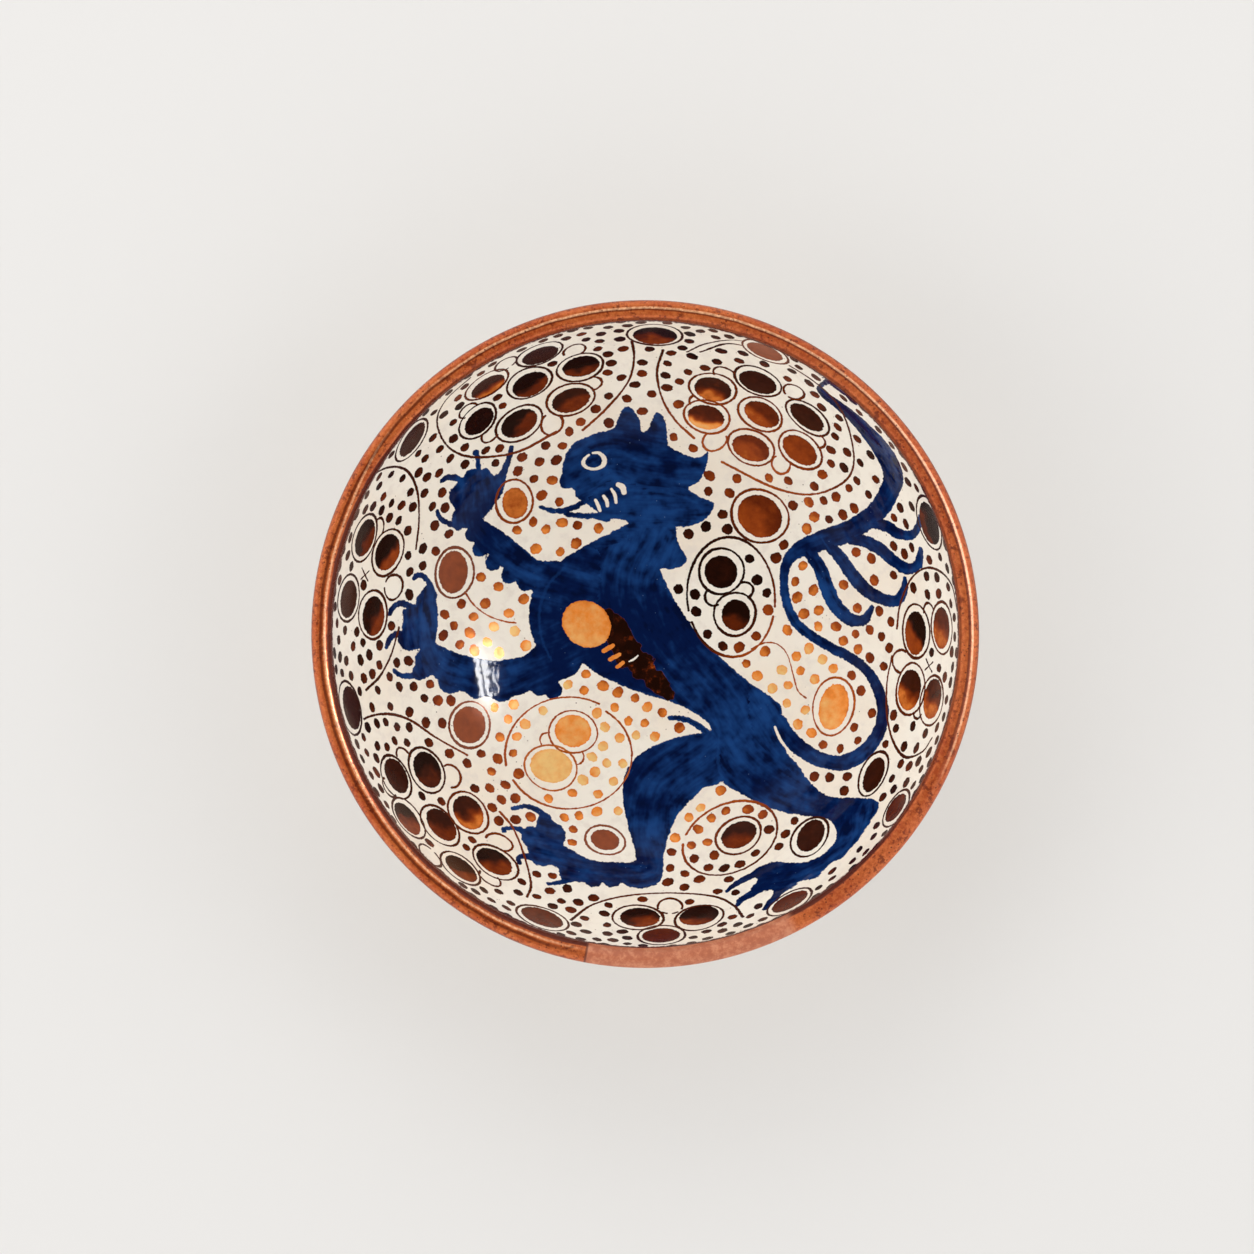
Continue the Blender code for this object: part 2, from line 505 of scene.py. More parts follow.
class Lustre:
    """The copper lustre: clusters of ringed discs, the lines round them, loops and dots."""

    line_half_width = 0.68
    dot_radius = 2.72
    dot_pitch = 7.7
    dot_gap = 0.6
    layer_gap = 3.4 * MM
    shortest_part = 3
    petal_out = 0.34
    petal_size = 0.20

    # The discs' tones and shades carry painted reflection: the steep walls' discs are darker, those on the
    # floor where the lights reflect are brighter, and each is lit on its side towards the bowl's middle.
    top_left = (
        Disc((530, 384), LustreTone.DARK, (19, 19), shade=0.9),
        Disc((540, 355), LustreTone.DARK, (19, 17)),
        Disc((581, 366), LustreTone.DARK, (19, 17), shade=0.9),
        Disc((571, 400), LustreTone.BROWN, (20, 16), 15, shade=0.3),
        Disc((519, 423), LustreTone.DARK, (20, 17), 20, shade=0.8),
        Disc((479, 421), LustreTone.BLACK, (16, 18), -35),
        Disc((488, 386), LustreTone.RUSSET, (19, 17), shade=0.6),
    )
    top_right = (
        Disc((762, 414), LustreTone.RUSSET, (19, 16), -20, shade=0.3),
        Disc((713, 389), LustreTone.RUSSET, (19, 17), shade=0.6),
        Disc((758, 382), LustreTone.DARK, (20, 17)),
        Disc((807, 417), LustreTone.DARK, (20, 15), -25),
        Disc((800, 450), LustreTone.RUSSET, (20, 16), -25, shade=0.1),
        Disc((751, 448), LustreTone.RUSSET, (20, 15), -10, shade=0.2),
        Disc((706, 417), LustreTone.COPPER, (19, 15), -5, shade=0.7),
    )
    bottom_left = (
        Disc((441, 825), LustreTone.BROWN, (19, 20), shade=0.3),
        Disc((396, 776), LustreTone.DARK, (18, 20)),
        Disc((427, 770), LustreTone.DARK, (18, 20), shade=0.4),
        Disc((468, 813), LustreTone.RUSSET, (18, 20), shade=0.6),
        Disc((494, 862), LustreTone.BROWN, (20, 18), shade=0.5),
        Disc((461, 869), LustreTone.BROWN, (19, 19), shade=0.4),
        Disc((407, 819), LustreTone.BROWN, (19, 20), shade=0.5),
    )
    left = (
        Disc((364.5, 537.5), LustreTone.DARK, (19, 20), shade=0.7),
        Disc((387, 552), LustreTone.BROWN, (19, 19), shade=0.65),
        Disc((348, 599), LustreTone.DARK, (19, 19)),
        Disc((373, 616), LustreTone.BROWN, (18, 20), shade=0.5),
    )
    right = (
        Disc((916, 633), LustreTone.BROWN, (17, 22), shade=0.8),
        Disc((942, 628), LustreTone.RUSSET, (18, 21), shade=0.4),
        Disc((910, 690), LustreTone.RUSSET, (18, 21), shade=0.6),
        Disc((933, 699), LustreTone.RUSSET, (18, 21), shade=0.5),
    )
    bottom = (
        Disc((640, 918), LustreTone.BROWN, (20, 18), shade=0.5),
        Disc((699, 916), LustreTone.BROWN, (20, 18), shade=0.5),
        Disc((661, 936), LustreTone.BROWN, (19, 18)),
    )
    oval_pair = (
        Disc((721, 572), LustreTone.BLACK, (17, 17), gap=2.6),
        Disc((736, 615), LustreTone.DARK, (15, 16), shade=0.6, gap=2.6),
    )
    round_pair = (
        Disc((573, 731), LustreTone.ORANGE, (19, 17), gap=2.2),
        Disc((551, 766), LustreTone.GOLD, (22, 18), gap=2.2),
    )
    singles = (
        Disc((655, 335), LustreTone.BROWN, (22, 20), shade=0.5),
        Disc((412, 439), LustreTone.DARK, (17, 22), -30),
        Disc((765, 351), LustreTone.PINK, (19, 18), shade=MATT),
        Disc((930, 523), LustreTone.DARK, (20, 25), shade=0.6),
        Disc((351, 708), LustreTone.DARK, (20, 23)),
        Disc((542, 918), LustreTone.BROWN, (22, 20)),
        Disc((874, 775), LustreTone.DARK, (14, 19), -25),
        Disc((896, 808), LustreTone.BROWN, (16, 18)),
        Disc((790, 902), LustreTone.BROWN, (20, 18)),
        Disc((515, 503), LustreTone.COPPER, (13.5, 17), 15, gap=2.5),
        Disc((453, 572), LustreTone.PINK, (17, 22), shade=MATT, gap=1.7),
        Disc((469, 725), LustreTone.PINK, (18, 20), -25, MATT, 1.7),
        Disc((605, 840), LustreTone.PINK, (15, 12), -15, MATT, 2.0),
        Disc((760, 516), LustreTone.RUSSET, (24, 22), -30, shade=0.2, gap=2.4),
        Disc((834, 707), LustreTone.ORANGE, (17, 24), -12, shade=0.08, gap=2.6),
        Disc((811, 836), LustreTone.DARK, (16, 20), -10, gap=1.9),
        Disc((739, 835), LustreTone.BROWN, (19, 15.5), 22, shade=0.3, gap=2.2),
    )

    shoulder_round = Disc((586.5, 624), LustreTone.ORANGE, (26.5, 23), -35, shade=0.06)
    shoulder_bars = (
        ((603.5, 651, 2.0), (608, 648.5, 2.5), (613, 645.5, 2.0)),
        ((610, 659.5, 2.0), (614.5, 657, 2.4), (619.5, 654.5, 2.0)),
        ((617, 667, 1.7), (620, 665, 2.2), (623, 662.5, 1.8)),
    )
    shoulder_smear = (
        (608, 615, 5), (615, 628, 11), (622, 641, 13.5), (630, 653, 14), (639, 663, 13), (648, 673, 11),
        (656, 681, 9), (663, 688, 7.5), (668, 694, 4.5),
    )

    # Painted reflection in the lustre: broad brighter areas where the lights reflect on the floor, and a
    # darker area by the oval pair.
    firing_and_reflection_areas = (
        ((572, 745), 78, 0.64),
        ((505, 665), 42, 0.60),
        ((515, 560), 52, 0.34),
        ((600, 540), 60, 0.36),
        ((645, 790), 55, 0.42),
        ((790, 660), 58, 0.62),
        ((800, 720), 45, 0.30),
        ((765, 455), 46, 0.42),
        ((700, 430), 36, 0.26),
        ((720, 800), 44, 0.30),
        ((580, 430), 60, 0.22),
        ((830, 560), 50, 0.34),
        ((722, 592), 40, -0.62),
    )
    cool_tone = 0.19

    def __init__(self, surface: Surface, seed: int = 5) -> None:
        """Gathers the discs and draws every line."""
        self.surface = surface
        self.brush = Brush(surface)
        self.random = np.random.default_rng(seed)
        self.clusters = (self.top_left, self.top_right, self.bottom_left, self.left, self.right, self.bottom)
        self.discs = [disc for group in self.clusters for disc in group]
        self.discs += [*self.oval_pair, *self.round_pair, *self.singles]
        self.strokes: list[Stroke] = []
        self.hollows: list[Array] = []
        self.draw_rings()
        self.draw_petals()
        self.draw_enclosures()
        self.draw_tendrils()
        self.strokes += Beast.brushed(self.shoulder_bars, 0.8)

    def tone_at(self, pixels: Array) -> Array:
        """The tone of thin marks at these pixels: warm in the broad areas of painted reflection, dark
        between them.
        """
        tone = np.full(len(pixels), self.cool_tone)
        for centre, reach, strength in self.firing_and_reflection_areas:
            tone += strength * np.exp(-np.sum((pixels - centre) ** 2, axis=1) / (2 * reach**2))
        return np.clip(tone, 0.02, 1)

    def round_line(
        self,
        at: Pixel,
        size: tuple[float, float],
        start: float,
        end: float,
        tilt: float = 0,
        wobble: float = 0,
    ) -> Array:
        """Part of an ellipse that lies on the surface with its true size, as pixels.

        Args:
            at: Its centre, a pixel.
            size: Its half width and half height in millimetres.
            start: Where it starts, in degrees counter-clockwise from the right.
            end: Where it ends.
            tilt: How far it is turned, in degrees.
            wobble: How uneven the hand is, as a share of the size.
        """
        centre = self.surface.view.lift(np.array([at]))
        right, up = self.surface.axes(centre)
        angles = np.radians(np.linspace(start, end, max(12, int(abs(end - start) / 7))))
        phase = self.random.uniform(0, 2 * pi, 2)
        uneven = 1 + wobble * (np.sin(2 * angles + phase[0]) + 0.6 * np.sin(3 * angles + phase[1]))
        x, y = size[0] * MM * uneven * np.cos(angles), size[1] * MM * uneven * np.sin(angles)
        turn = radians(tilt)
        x, y = x * cos(turn) - y * sin(turn), x * sin(turn) + y * cos(turn)
        return self.surface.view.pixels_of(centre + x[:, None] * right + y[:, None] * up)

    def clear_of_rings(self, line: Array) -> list[Array]:
        """The stretches of a line that lie outside every disc's ring."""
        places = self.surface.view.lift(np.asarray(line, float))
        clear = np.ones(len(places), bool)
        for disc in self.discs:
            centre = self.surface.view.lift(np.array([disc.at]))
            right, up = self.surface.axes(centre)
            turn = radians(disc.tilt)
            offset = (places - centre) / MM
            x, y = offset @ right[0], offset @ up[0]
            u = (x * cos(turn) + y * sin(turn)) / (disc.size[0] / 2 + disc.gap + self.line_half_width)
            v = (y * cos(turn) - x * sin(turn)) / (disc.size[1] / 2 + disc.gap + self.line_half_width)
            clear &= np.hypot(u, v) > 0.98
        edges = np.flatnonzero(np.diff(clear.astype(int))) + 1
        parts = zip(np.split(line, edges), np.split(clear, edges))
        return [part for part, kept in parts if kept[0] and len(part) > self.shortest_part]

    def add(self, line: Array, width: float = line_half_width, closed: bool = False) -> None:
        """Adds a line, open or a whole ring, that stops where it meets a ring."""
        if closed:
            self.lay(line, width, True)
            return
        for part in self.clear_of_rings(line):
            self.lay(part, width, False)

    def lay(self, line: Array, width: float, closed: bool) -> None:
        """Lays a line with a hand's uneven width and the tone of the places it passes."""
        at = np.linspace(0, 2 * pi, len(line))
        phase = self.random.uniform(0, 2 * pi, 2)
        uneven = 1 + 0.16 * np.sin(at + phase[0]) + 0.1 * np.sin(3 * at + phase[1])
        tone = self.tone_at(line)
        width = width * uneven * (1 - 0.7 * np.clip(tone - 0.5, 0, 0.5))
        self.strokes.append(Stroke(np.asarray(line, float), width, np.minimum(tone, 0.6), closed))

    def draw_rings(self) -> None:
        """A ring round each disc, a little off its centre."""
        for disc in self.discs:
            size = tuple(half / 2 + disc.gap + self.line_half_width for half in disc.size)
            slip = self.random.normal(0, 0.9, 2)
            at = (disc.at[0] + slip[0], disc.at[1] + slip[1])
            ring = self.round_line(at, size, 0, 351, disc.tilt, wobble=0.022)
            self.add(ring, closed=True)
            self.strokes[-1].tone = 0.35 * disc.tone.value + 0.5 * np.asarray(self.strokes[-1].tone)

    def petal(self, first: Disc, second: Disc, outward: Pixel) -> None:
        """A small loop on the outer side of two neighbouring discs, open towards them."""
        view = self.surface.view
        a, b = view.lift(np.array([first.at, second.at]))
        middle = ((a + b) / 2)[None]
        right, up = self.surface.axes(middle)
        away = view.lift(np.array([outward]))[0]
        way = (middle - away)[0]
        x, y = float(way @ right[0]), float(way @ up[0])
        length = max(hypot(x, y), 1e-6)
        span = np.linalg.norm(b - a)
        base = middle + span * self.petal_out * (x * right + y * up) / length
        at = view.pixels_of(base)[0]
        reach = span * self.petal_size
        size = (reach / MM * self.random.uniform(0.95, 1.2), reach / MM * self.random.uniform(0.88, 1.08))
        self.add(self.round_line((at[0], at[1]), size, -165, 165, np.degrees(atan2(y, x)), wobble=0.04))
        self.hollows.append(np.append(view.lift(np.array([at]))[0], reach))

    def draw_petals(self) -> None:
        """Loops between the outer discs of each cluster, and beside the discs of each pair."""
        for cluster in (self.top_left, self.top_right, self.bottom_left):
            middle, *outer = cluster
            outer.sort(key=lambda disc: atan2(disc.at[1] - middle.at[1], disc.at[0] - middle.at[0]))
            for first, second in zip(outer, outer[1:] + outer[:1]):
                self.petal(first, second, middle.at)
        self.petal(self.left[1], self.left[3], (350, 577))
        self.petal(self.left[0], self.left[1], (372, 565))
        self.petal(self.right[0], self.right[2], (940, 662))
        self.petal(self.right[0], self.right[1], (929, 666))
        self.petal(self.right[2], self.right[3], (928, 655))
        self.petal(self.bottom[0], self.bottom[1], (668, 940))
        self.petal(self.oval_pair[0], self.oval_pair[1], (700, 600))
        self.petal(self.oval_pair[0], self.oval_pair[1], (757, 588))
        self.petal(self.round_pair[0], self.round_pair[1], (540, 735))
        self.petal(self.round_pair[0], self.round_pair[1], (585, 762))

    def draw_enclosures(self) -> None:
        """The long lines that run round each cluster and pair."""
        for line in (
            [(631, 336), (634, 358), (628, 382), (607, 408), (583, 430)],
            [(470, 378), (446, 400), (437, 421), (445, 443), (462, 455), (487, 457), (520, 451), (556, 432)],
            [(663, 350), (657, 372), (662, 398), (675, 420), (694, 438)],
            [(700, 352), (735, 344), (790, 366), (836, 402), (853, 448), (848, 478), (815, 494), (775, 488),
             (722, 462)],
            [(352, 505), (366, 482), (386, 468), (406, 470), (417, 490), (419, 520), (416, 549)],
            [(399, 628), (391, 655), (380, 676), (366, 690)],
            [(352, 732), (366, 718), (388, 714), (410, 720), (435, 737), (467, 755)],
            [(500, 812), (513, 828), (524, 855), (531, 884), (527, 897)],
            [(571, 920), (592, 905), (625, 896), (668, 893), (712, 896), (733, 905), (743, 917)],
            [(897, 628), (900, 605), (911, 579), (926, 568), (941, 572), (952, 586), (957, 610)],
            [(892, 656), (887, 683), (887, 715), (893, 741), (905, 757), (922, 752), (932, 738)],
        ):
            self.add(smooth_line(line))
        self.add(arc((731, 597), (44, 60), -12, 190, 4))
        self.add(arc((731, 597), (44, 60), 202, 338, 4))
        self.add(arc((569, 755), (64, 58), 62, 190))
        self.add(arc((569, 755), (63, 54), -152, 54))
        self.add(arc((730, 838), (50, 34), -205, 140, 25))

    def draw_tendrils(self) -> None:
        """Loose curls that fill the places between the enclosures."""
        for line in (
            [(465, 592), (473, 604), (487, 615), (503, 621), (516, 623)],
            [(752, 649), (764, 643), (777, 644), (787, 654), (793, 674), (798, 691), (806, 698)],
            [(687, 352), (705, 344), (732, 340), (760, 344)],
        ):
            self.add(smooth_line(line), 0.5)
        for x, y in ((365, 575), (929, 666)):
            self.add(smooth_line([(x - 3, y - 7), (x, y), (x + 3, y + 6)]), 0.45)
            self.add(smooth_line([(x + 4, y - 4), (x - 4, y + 4)]), 0.45)

    def layers(self) -> list[list[StrokeSamples]]:
        """The strokes shared out so that in one layer none comes near another."""
        return share_out(self.brush.all_samples(self.strokes), self.layer_gap, 3)

    def dots(self, keep_off: Callable[[Array], Array], tries: int = 60000) -> tuple[Array, Array, Array]:
        """Brushed dots in rows along the lines and the figure, then in what is left.

        Args:
            keep_off: Gives how far points are from the figure, in metres.
            tries: How many places are tried.

        Returns:
            The dots' centres, their radii in metres and their tones.
        """
        form, view = self.surface.form, self.surface.view
        reach = float(form.run_at_slope(np.array(form.lip_slope)))
        run = reach * np.sqrt(self.random.random(tries))
        slope = form.slope_at_run(run)
        radius = np.where(
            slope <= form.floor_arc_end,
            form.floor_arc_radius * np.sin(slope),
            form.floor_edge + form.wall_arc_radius * (np.sin(slope) - sin(form.floor_arc_end)),
        )
        kept = self.random.random(tries) < radius / np.maximum(run, 1e-6)
        radius = radius[kept]
        angle = self.random.uniform(0, 2 * pi, len(radius))
        places = np.column_stack([radius * np.cos(angle), radius * np.sin(angle), form.height_at(radius)])
        (lines,) = joined(self.brush.all_samples(self.strokes), "places")
        tree = kdtree.KDTree(len(lines))
        for i, point in enumerate(lines):
            tree.insert(point, i)
        tree.balance()
        to_line = np.array([tree.find(point)[2] for point in places]) - self.line_half_width * MM
        to_figure = keep_off(places)
        clear = np.minimum(to_line, to_figure)
        for disc in self.discs:
            centre = view.lift(np.array([disc.at]))
            room = (max(disc.size) / 2 + disc.gap) * MM
            away = np.linalg.norm(places - centre, axis=1)
            clear = np.minimum(clear, np.where(away < room, -1, clear))
        for x, y, z, size in self.hollows:
            away = np.linalg.norm(places - (x, y, z), axis=1)
            clear = np.where(away < size, -1, clear)
        need = (self.dot_radius + self.dot_gap) * MM
        order = np.argsort(clear + self.random.uniform(0, 1.2, len(clear)) * MM)
        chosen = np.zeros((0, 3))
        pitch = self.dot_pitch * MM
        for i in order:
            if clear[i] < need:
                continue
            if len(chosen) and np.min(np.sum((chosen - places[i]) ** 2, axis=1)) < pitch**2:
                continue
            chosen = np.vstack([chosen, places[i]])
        radii = self.dot_radius * MM * self.random.uniform(0.84, 1.1, len(chosen))
        tones = self.tone_at(view.pixels_of(chosen)) + self.random.normal(0, 0.07, len(chosen))
        return chosen, radii, np.clip(tones, 0.02, 1)

    def spots(self, dots: Array, radii: Array, dot_tones: Array) -> tuple[Array, Array, Array, Array, Array]:
        """All filled rounds: the discs and the dots.

        Returns:
            Their centres, half widths in millimetres, tilts in degrees, tones and shades.
        """
        discs = [*self.discs, self.shoulder_round]
        centres = self.surface.view.lift(np.array([disc.at for disc in discs]))
        halves = np.array([disc.size for disc in discs]) / 2
        uneven = self.random.uniform(0.9, 1.12, len(dots))
        dabs = np.column_stack([radii * uneven, radii / uneven]) / MM
        tilts = np.array([disc.tilt for disc in discs], float)
        tones = np.array([disc.tone.value for disc in discs])
        shades = np.array([disc.shade for disc in discs])
        return (
            np.vstack([centres, dots]),
            np.vstack([halves, dabs]),
            np.append(tilts, self.random.uniform(-60, 60, len(dots))),
            np.append(tones, dot_tones),
            np.append(shades, np.full(len(dots), 0.1)),
        )


class Beast:
    """The blue beast that rears to the left: outlines, limbs, paws, tail, what is left white and one painted
    glint.
    """

    pixel = 0.51 * MM
    stroke_gap = 1.8 * MM
    finest = 0.3
    chunk = 2000

    torso = (
        (636, 520), (608, 534), (578, 550), (552, 568), (533, 592), (529, 618), (536, 646), (556, 664),
        (574, 657), (597, 674), (623, 686), (648, 695), (674, 703), (696, 714), (712, 729), (716, 752),
        (720, 779), (738, 792), (757, 802), (777, 810), (800, 814), (815, 800), (800, 768), (787, 752),
        (777, 728), (781, 706), (745, 679), (719, 656), (701, 638), (686, 617), (673, 597), (664, 578),
        (661, 569), (672, 569), (683, 565), (687, 559), (682, 549), (677, 539), (675, 526), (660, 515),
    )
    head = (
        (559, 482), (563, 488), (573, 489), (577, 498), (588, 505), (599, 514), (603, 520), (618, 519),
        (640, 525), (672, 527), (690, 526), (704, 520), (711, 513), (714, 503), (703, 498), (688, 489),
        (699, 481), (706, 467), (709, 451), (705, 454), (695, 458), (682, 453), (669, 446), (667, 436),
        (666, 425), (661, 414), (655, 413), (651, 423), (647, 430), (641, 432), (640, 421), (634, 411),
        (630, 407), (624, 407), (620, 414), (614, 428), (600, 432), (586, 437), (575, 443), (567, 452),
        (563, 464), (562, 474),
    )
    upper_paw = (
        (486, 515), (497, 502), (503, 491), (505.5, 479), (500, 473.5), (494, 475.5), (490, 470.5),
        (485, 468),
        (480, 470), (475, 468.5), (467, 471), (464, 476), (458, 480), (454.5, 486), (450, 490), (449, 498),
        (451, 504), (456, 509), (452, 515), (452, 522), (457, 528), (466, 528), (473, 525), (480, 521),
    )
    lower_paw = (
        (430, 587), (436, 600), (438, 612), (437, 631), (436, 642), (441, 649), (444, 662), (437, 671),
        (428, 677.5), (416, 680), (413, 673), (415, 664), (416, 655), (420, 649), (415, 649.5), (409, 651),
        (402, 648), (397.5, 640), (401.5, 633), (402, 626), (403, 619), (402.5, 611), (409, 607),
        (415, 606),
        (416.5, 598), (420, 592), (425.5, 586),
    )
    near_thigh = (
        (722, 733), (700, 733), (679, 737), (655, 745), (635, 758), (624, 778), (623, 800), (629, 830),
        (635, 852), (633, 862), (609, 862), (595, 860.5), (586, 858), (577, 853), (570.5, 849), (563, 844),
        (565.5, 838), (564.5, 831), (560, 825), (553, 820.5), (546, 815), (540, 813), (537, 819),
        (536, 827),
        (530, 827), (523.5, 830), (521.5, 838), (525, 845), (528, 851), (530, 858), (536, 864.5),
        (544, 866),
        (552, 865.5), (558, 869), (560, 875), (563, 881), (571, 881), (579, 882), (585, 883), (592, 887),
        (599.5, 886.5), (602, 883), (609, 887), (617, 886), (622, 883), (631, 887.5), (645, 888),
        (661, 880),
        (664, 855), (668, 838), (677, 816), (690, 801), (704, 788), (722, 779),
    )
    far_leg = (
        (757, 800), (777, 810), (800, 815), (817, 817), (828, 819.5), (834.5, 826), (836.5, 835),
        (834, 843.5),
        (828, 850), (820, 856), (811, 860.5), (802, 862.5), (788, 862.5), (774.5, 861.5), (765.5, 864.5),
        (757.5, 868.5),
        (753, 873), (756, 878), (758, 881), (753, 885.5), (750, 890), (755, 894), (763, 891.5),
        (771, 889.5),
        (775, 892), (778, 896), (785, 892), (794, 887), (799, 881.5), (806, 880), (817, 877.5), (824, 870),
        (832.5, 862), (841, 859), (847, 852), (856.5, 842.5), (866.5, 827.5), (875.5, 815), (879, 807),
        (877, 801),
        (864, 798), (829, 796), (810, 782), (790, 764),
    )
    forelegs = (
        ((556, 580, 19), (533, 574, 15), (512, 557, 14), (495, 542, 13), (478, 530, 11)),
        ((560, 655, 24), (533, 671, 18), (505, 679, 19), (478, 677, 18), (452, 669, 17), (434, 658, 14)),
    )
    rounds = (
        ((472, 535), 7), ((480, 549), 8), ((493, 563), 8), ((509, 576), 8), ((525, 583), 8),
        ((451, 681), 13), ((476, 689), 10), ((502, 690), 12), ((540, 686), 10), ((553, 690), 9),
        ((461, 519), 9.5), ((458, 526), 4.5), ((529.5, 834), 8), ((419, 671), 7),
    )
    claws = (
        ((460, 526, 4), (453, 524.5, 3), (446.5, 522.5, 2.8), (441, 519, 2.5), (437.5, 513.5, 2.2),
         (437, 511.5, 2)),
        ((462, 482, 4), (457, 478.5, 3.4), (451, 477, 3), (446, 478, 2.6), (442, 480.5, 2)),
        ((479, 472, 3), (478, 464, 2.4), (477.5, 457, 2.4), (475.5, 452.5, 3.4)),
        ((500, 480, 5), (504, 471, 3.4), (507.5, 462, 2.8), (510.5, 453, 2.4), (511.5, 447.5, 2.6)),
        ((432, 596, 5), (431, 588, 3), (428, 581.5, 2.6), (423, 576, 2.8), (417.5, 575, 2.6),
         (414, 578.5, 2)),
        ((416, 609, 4), (408.5, 606, 3.4), (402.5, 603.5, 3.2), (396.5, 605, 2.9), (392, 609, 2.5),
         (390, 613.5, 2)),
        ((408, 638, 5), (401, 635, 4), (395.5, 634.5, 3.2), (391, 637.5, 2.8), (388, 642.5, 2.4),
         (386.5, 647, 1.8)),
        ((424, 672, 5), (414, 675, 3.6), (404, 676, 2.8), (397.5, 673.5, 2.4), (394, 670.5, 2)),
        ((546, 818, 5), (540, 812, 3.2), (533, 808.5, 2.7), (526, 806.5, 2.4), (518, 807.5, 2.1),
         (512.5, 808.5, 1.8)),
        ((527, 835, 4), (521.5, 830.5, 2.8), (516, 828.5, 2.2), (509, 828, 2), (503.5, 829, 2.2),
         (503.8, 831.5, 2)),
        ((532, 857, 4), (528, 856.5, 3), (522, 856.5, 2.6), (517.5, 858.5, 2.2), (519.5, 862.5, 1.9)),
        ((572, 878, 4), (564, 881.5, 2.6), (557, 882.7, 2.1), (548.5, 884, 1.6)),
        ((760, 871, 4), (753, 875, 3), (743, 880, 2.6), (733.5, 885.5, 2.2), (727.5, 891, 1.6)),
        ((760, 888, 4), (753, 893, 3.2), (746, 897, 2.8), (740.5, 900.5, 2.4), (737, 905.5, 1.8)),
        ((779, 891, 4), (775, 898, 3), (770, 902.5, 2.6), (765.5, 908.5, 2)),
    )
    tail = (
        (779, 722, 8), (789, 737, 8), (804, 751, 8), (822, 760, 7.5), (842, 763, 7.5), (862, 754, 7),
        (877, 736, 6),
        (883, 714, 5.5), (879, 692, 5.5), (868, 672, 5), (851, 658, 5), (830, 647, 5), (809, 634, 5),
        (795, 621, 5),
        (787, 604, 4.5), (784, 584, 4.5), (786, 565, 5), (797, 551, 7.5), (818, 542, 10), (844, 533, 10.5),
        (864, 522, 10), (879, 509, 10), (888, 494, 9.5), (893, 478, 9), (889.5, 462, 8), (880, 446, 6.8),
        (867, 431, 5.5),
        (852, 416, 4.3), (837, 404, 3.5), (825, 395, 2.9), (820, 387, 2.6), (829, 382, 2.4), (842, 389, 2),
        (852, 400, 1.6),
    )
    tufts = (
        ((858, 525, 6), (872, 523, 5.5), (886, 526, 5.5), (900, 534, 5), (912, 535, 4.5), (918, 527, 3),
         (920, 517, 1.8)),
        ((850, 538, 6), (866, 542, 6), (880, 549, 6), (894, 561, 5.5), (908, 569, 5.5), (918, 564, 4.5),
         (921, 550, 2.2)),
        ((832, 548, 6), (842, 560, 6), (852, 574, 6.5), (865, 589, 6.5), (880, 598, 6), (896, 601, 5.5),
         (904, 590, 4),
         (905, 579, 2)),
        ((810, 553, 6), (820, 568, 6.5), (827, 588, 7), (836, 606, 7), (850, 619, 6.5), (864, 620, 5),
         (872, 608, 2.5)),
    )
    thin = (
        ((591, 498, 3.4), (582, 503, 2.8), (572, 508, 2.8), (561, 511, 2.8), (550, 510, 2.4),
         (540, 507, 1.8)),
        ((606, 517, 5), (595, 516, 3.4), (582, 516, 2.8), (566, 514, 2.6)),
        ((670, 718, 2.6), (684, 719, 3), (697, 725, 3), (710, 735, 3.5)),
    )
    white = (
        ((593, 453, 1.0), (599, 453, 1.6), (604, 458, 2.3), (604, 464, 2.3), (599, 468, 1.5),
         (592, 469, 1.3),
         (586, 467, 1.5), (583, 463, 1.9), (585, 458, 1.5), (589, 455, 0.9)),
        ((595.5, 500, 1.5), (598, 505, 1.9), (600, 510.5, 1.6)),
        ((603.5, 496, 1.5), (606.5, 500.5, 2.0), (607.5, 506, 1.5)),
        ((611.5, 489, 1.3), (615, 495, 1.8), (616, 502.5, 1.4)),
        ((618, 484.5, 2.2), (622.5, 487, 3.0), (624, 492.5, 2.6)),
        ((775, 727, 1.2), (780, 739, 1.4), (788, 750, 0.8)),
        # a pale glint painted across the shoulder's dark strip
        ((629, 661.5, 0.7), (633.5, 659.5, 1.2), (638, 655.5, 0.7)),
    )
    faint = (
        ((566, 566, 1.1), (549, 584, 1.5), (540, 608, 1.5), (541, 636, 1.2), (551, 660, 0.9)),
        ((630, 491, 0.9), (655, 491, 1.3), (680, 496, 1.2), (697, 503, 0.8)),
        ((600, 482, 1.0), (610, 476, 1.2), (618, 474, 0.7)),
        ((719, 735, 0.8), (718, 760, 1.6), (722, 778, 1.0)),
        ((820, 536, 0.6), (828, 548, 0.8), (836, 562, 0.5)),
    )
    spines = (
        ((655, 545), (640, 590), (665, 650), (715, 705), (750, 760), (800, 795), (855, 805)),
        ((575, 470), (610, 455), (650, 465), (700, 470)),
        ((620, 508), (660, 508), (706, 510)),
        ((560, 580), (520, 568), (480, 530), (474, 490)),
        ((565, 655), (500, 680), (440, 665), (424, 620), (424, 590)),
        ((700, 750), (655, 785), (645, 830), (650, 870), (600, 873), (545, 862)),
        ((855, 808), (845, 845), (800, 872), (765, 880)),
    )

    def __init__(self, surface: Surface) -> None:
        """Works out the limbs' samples and the outlines once."""
        self.surface = surface
        masses = (self.torso, self.head, self.near_thigh, self.far_leg, self.upper_paw, self.lower_paw)
        self.outlines = [smooth_line(outline, closed=True) for outline in masses]
        self.limbs = [smooth_line(limb) for limb in self.forelegs]

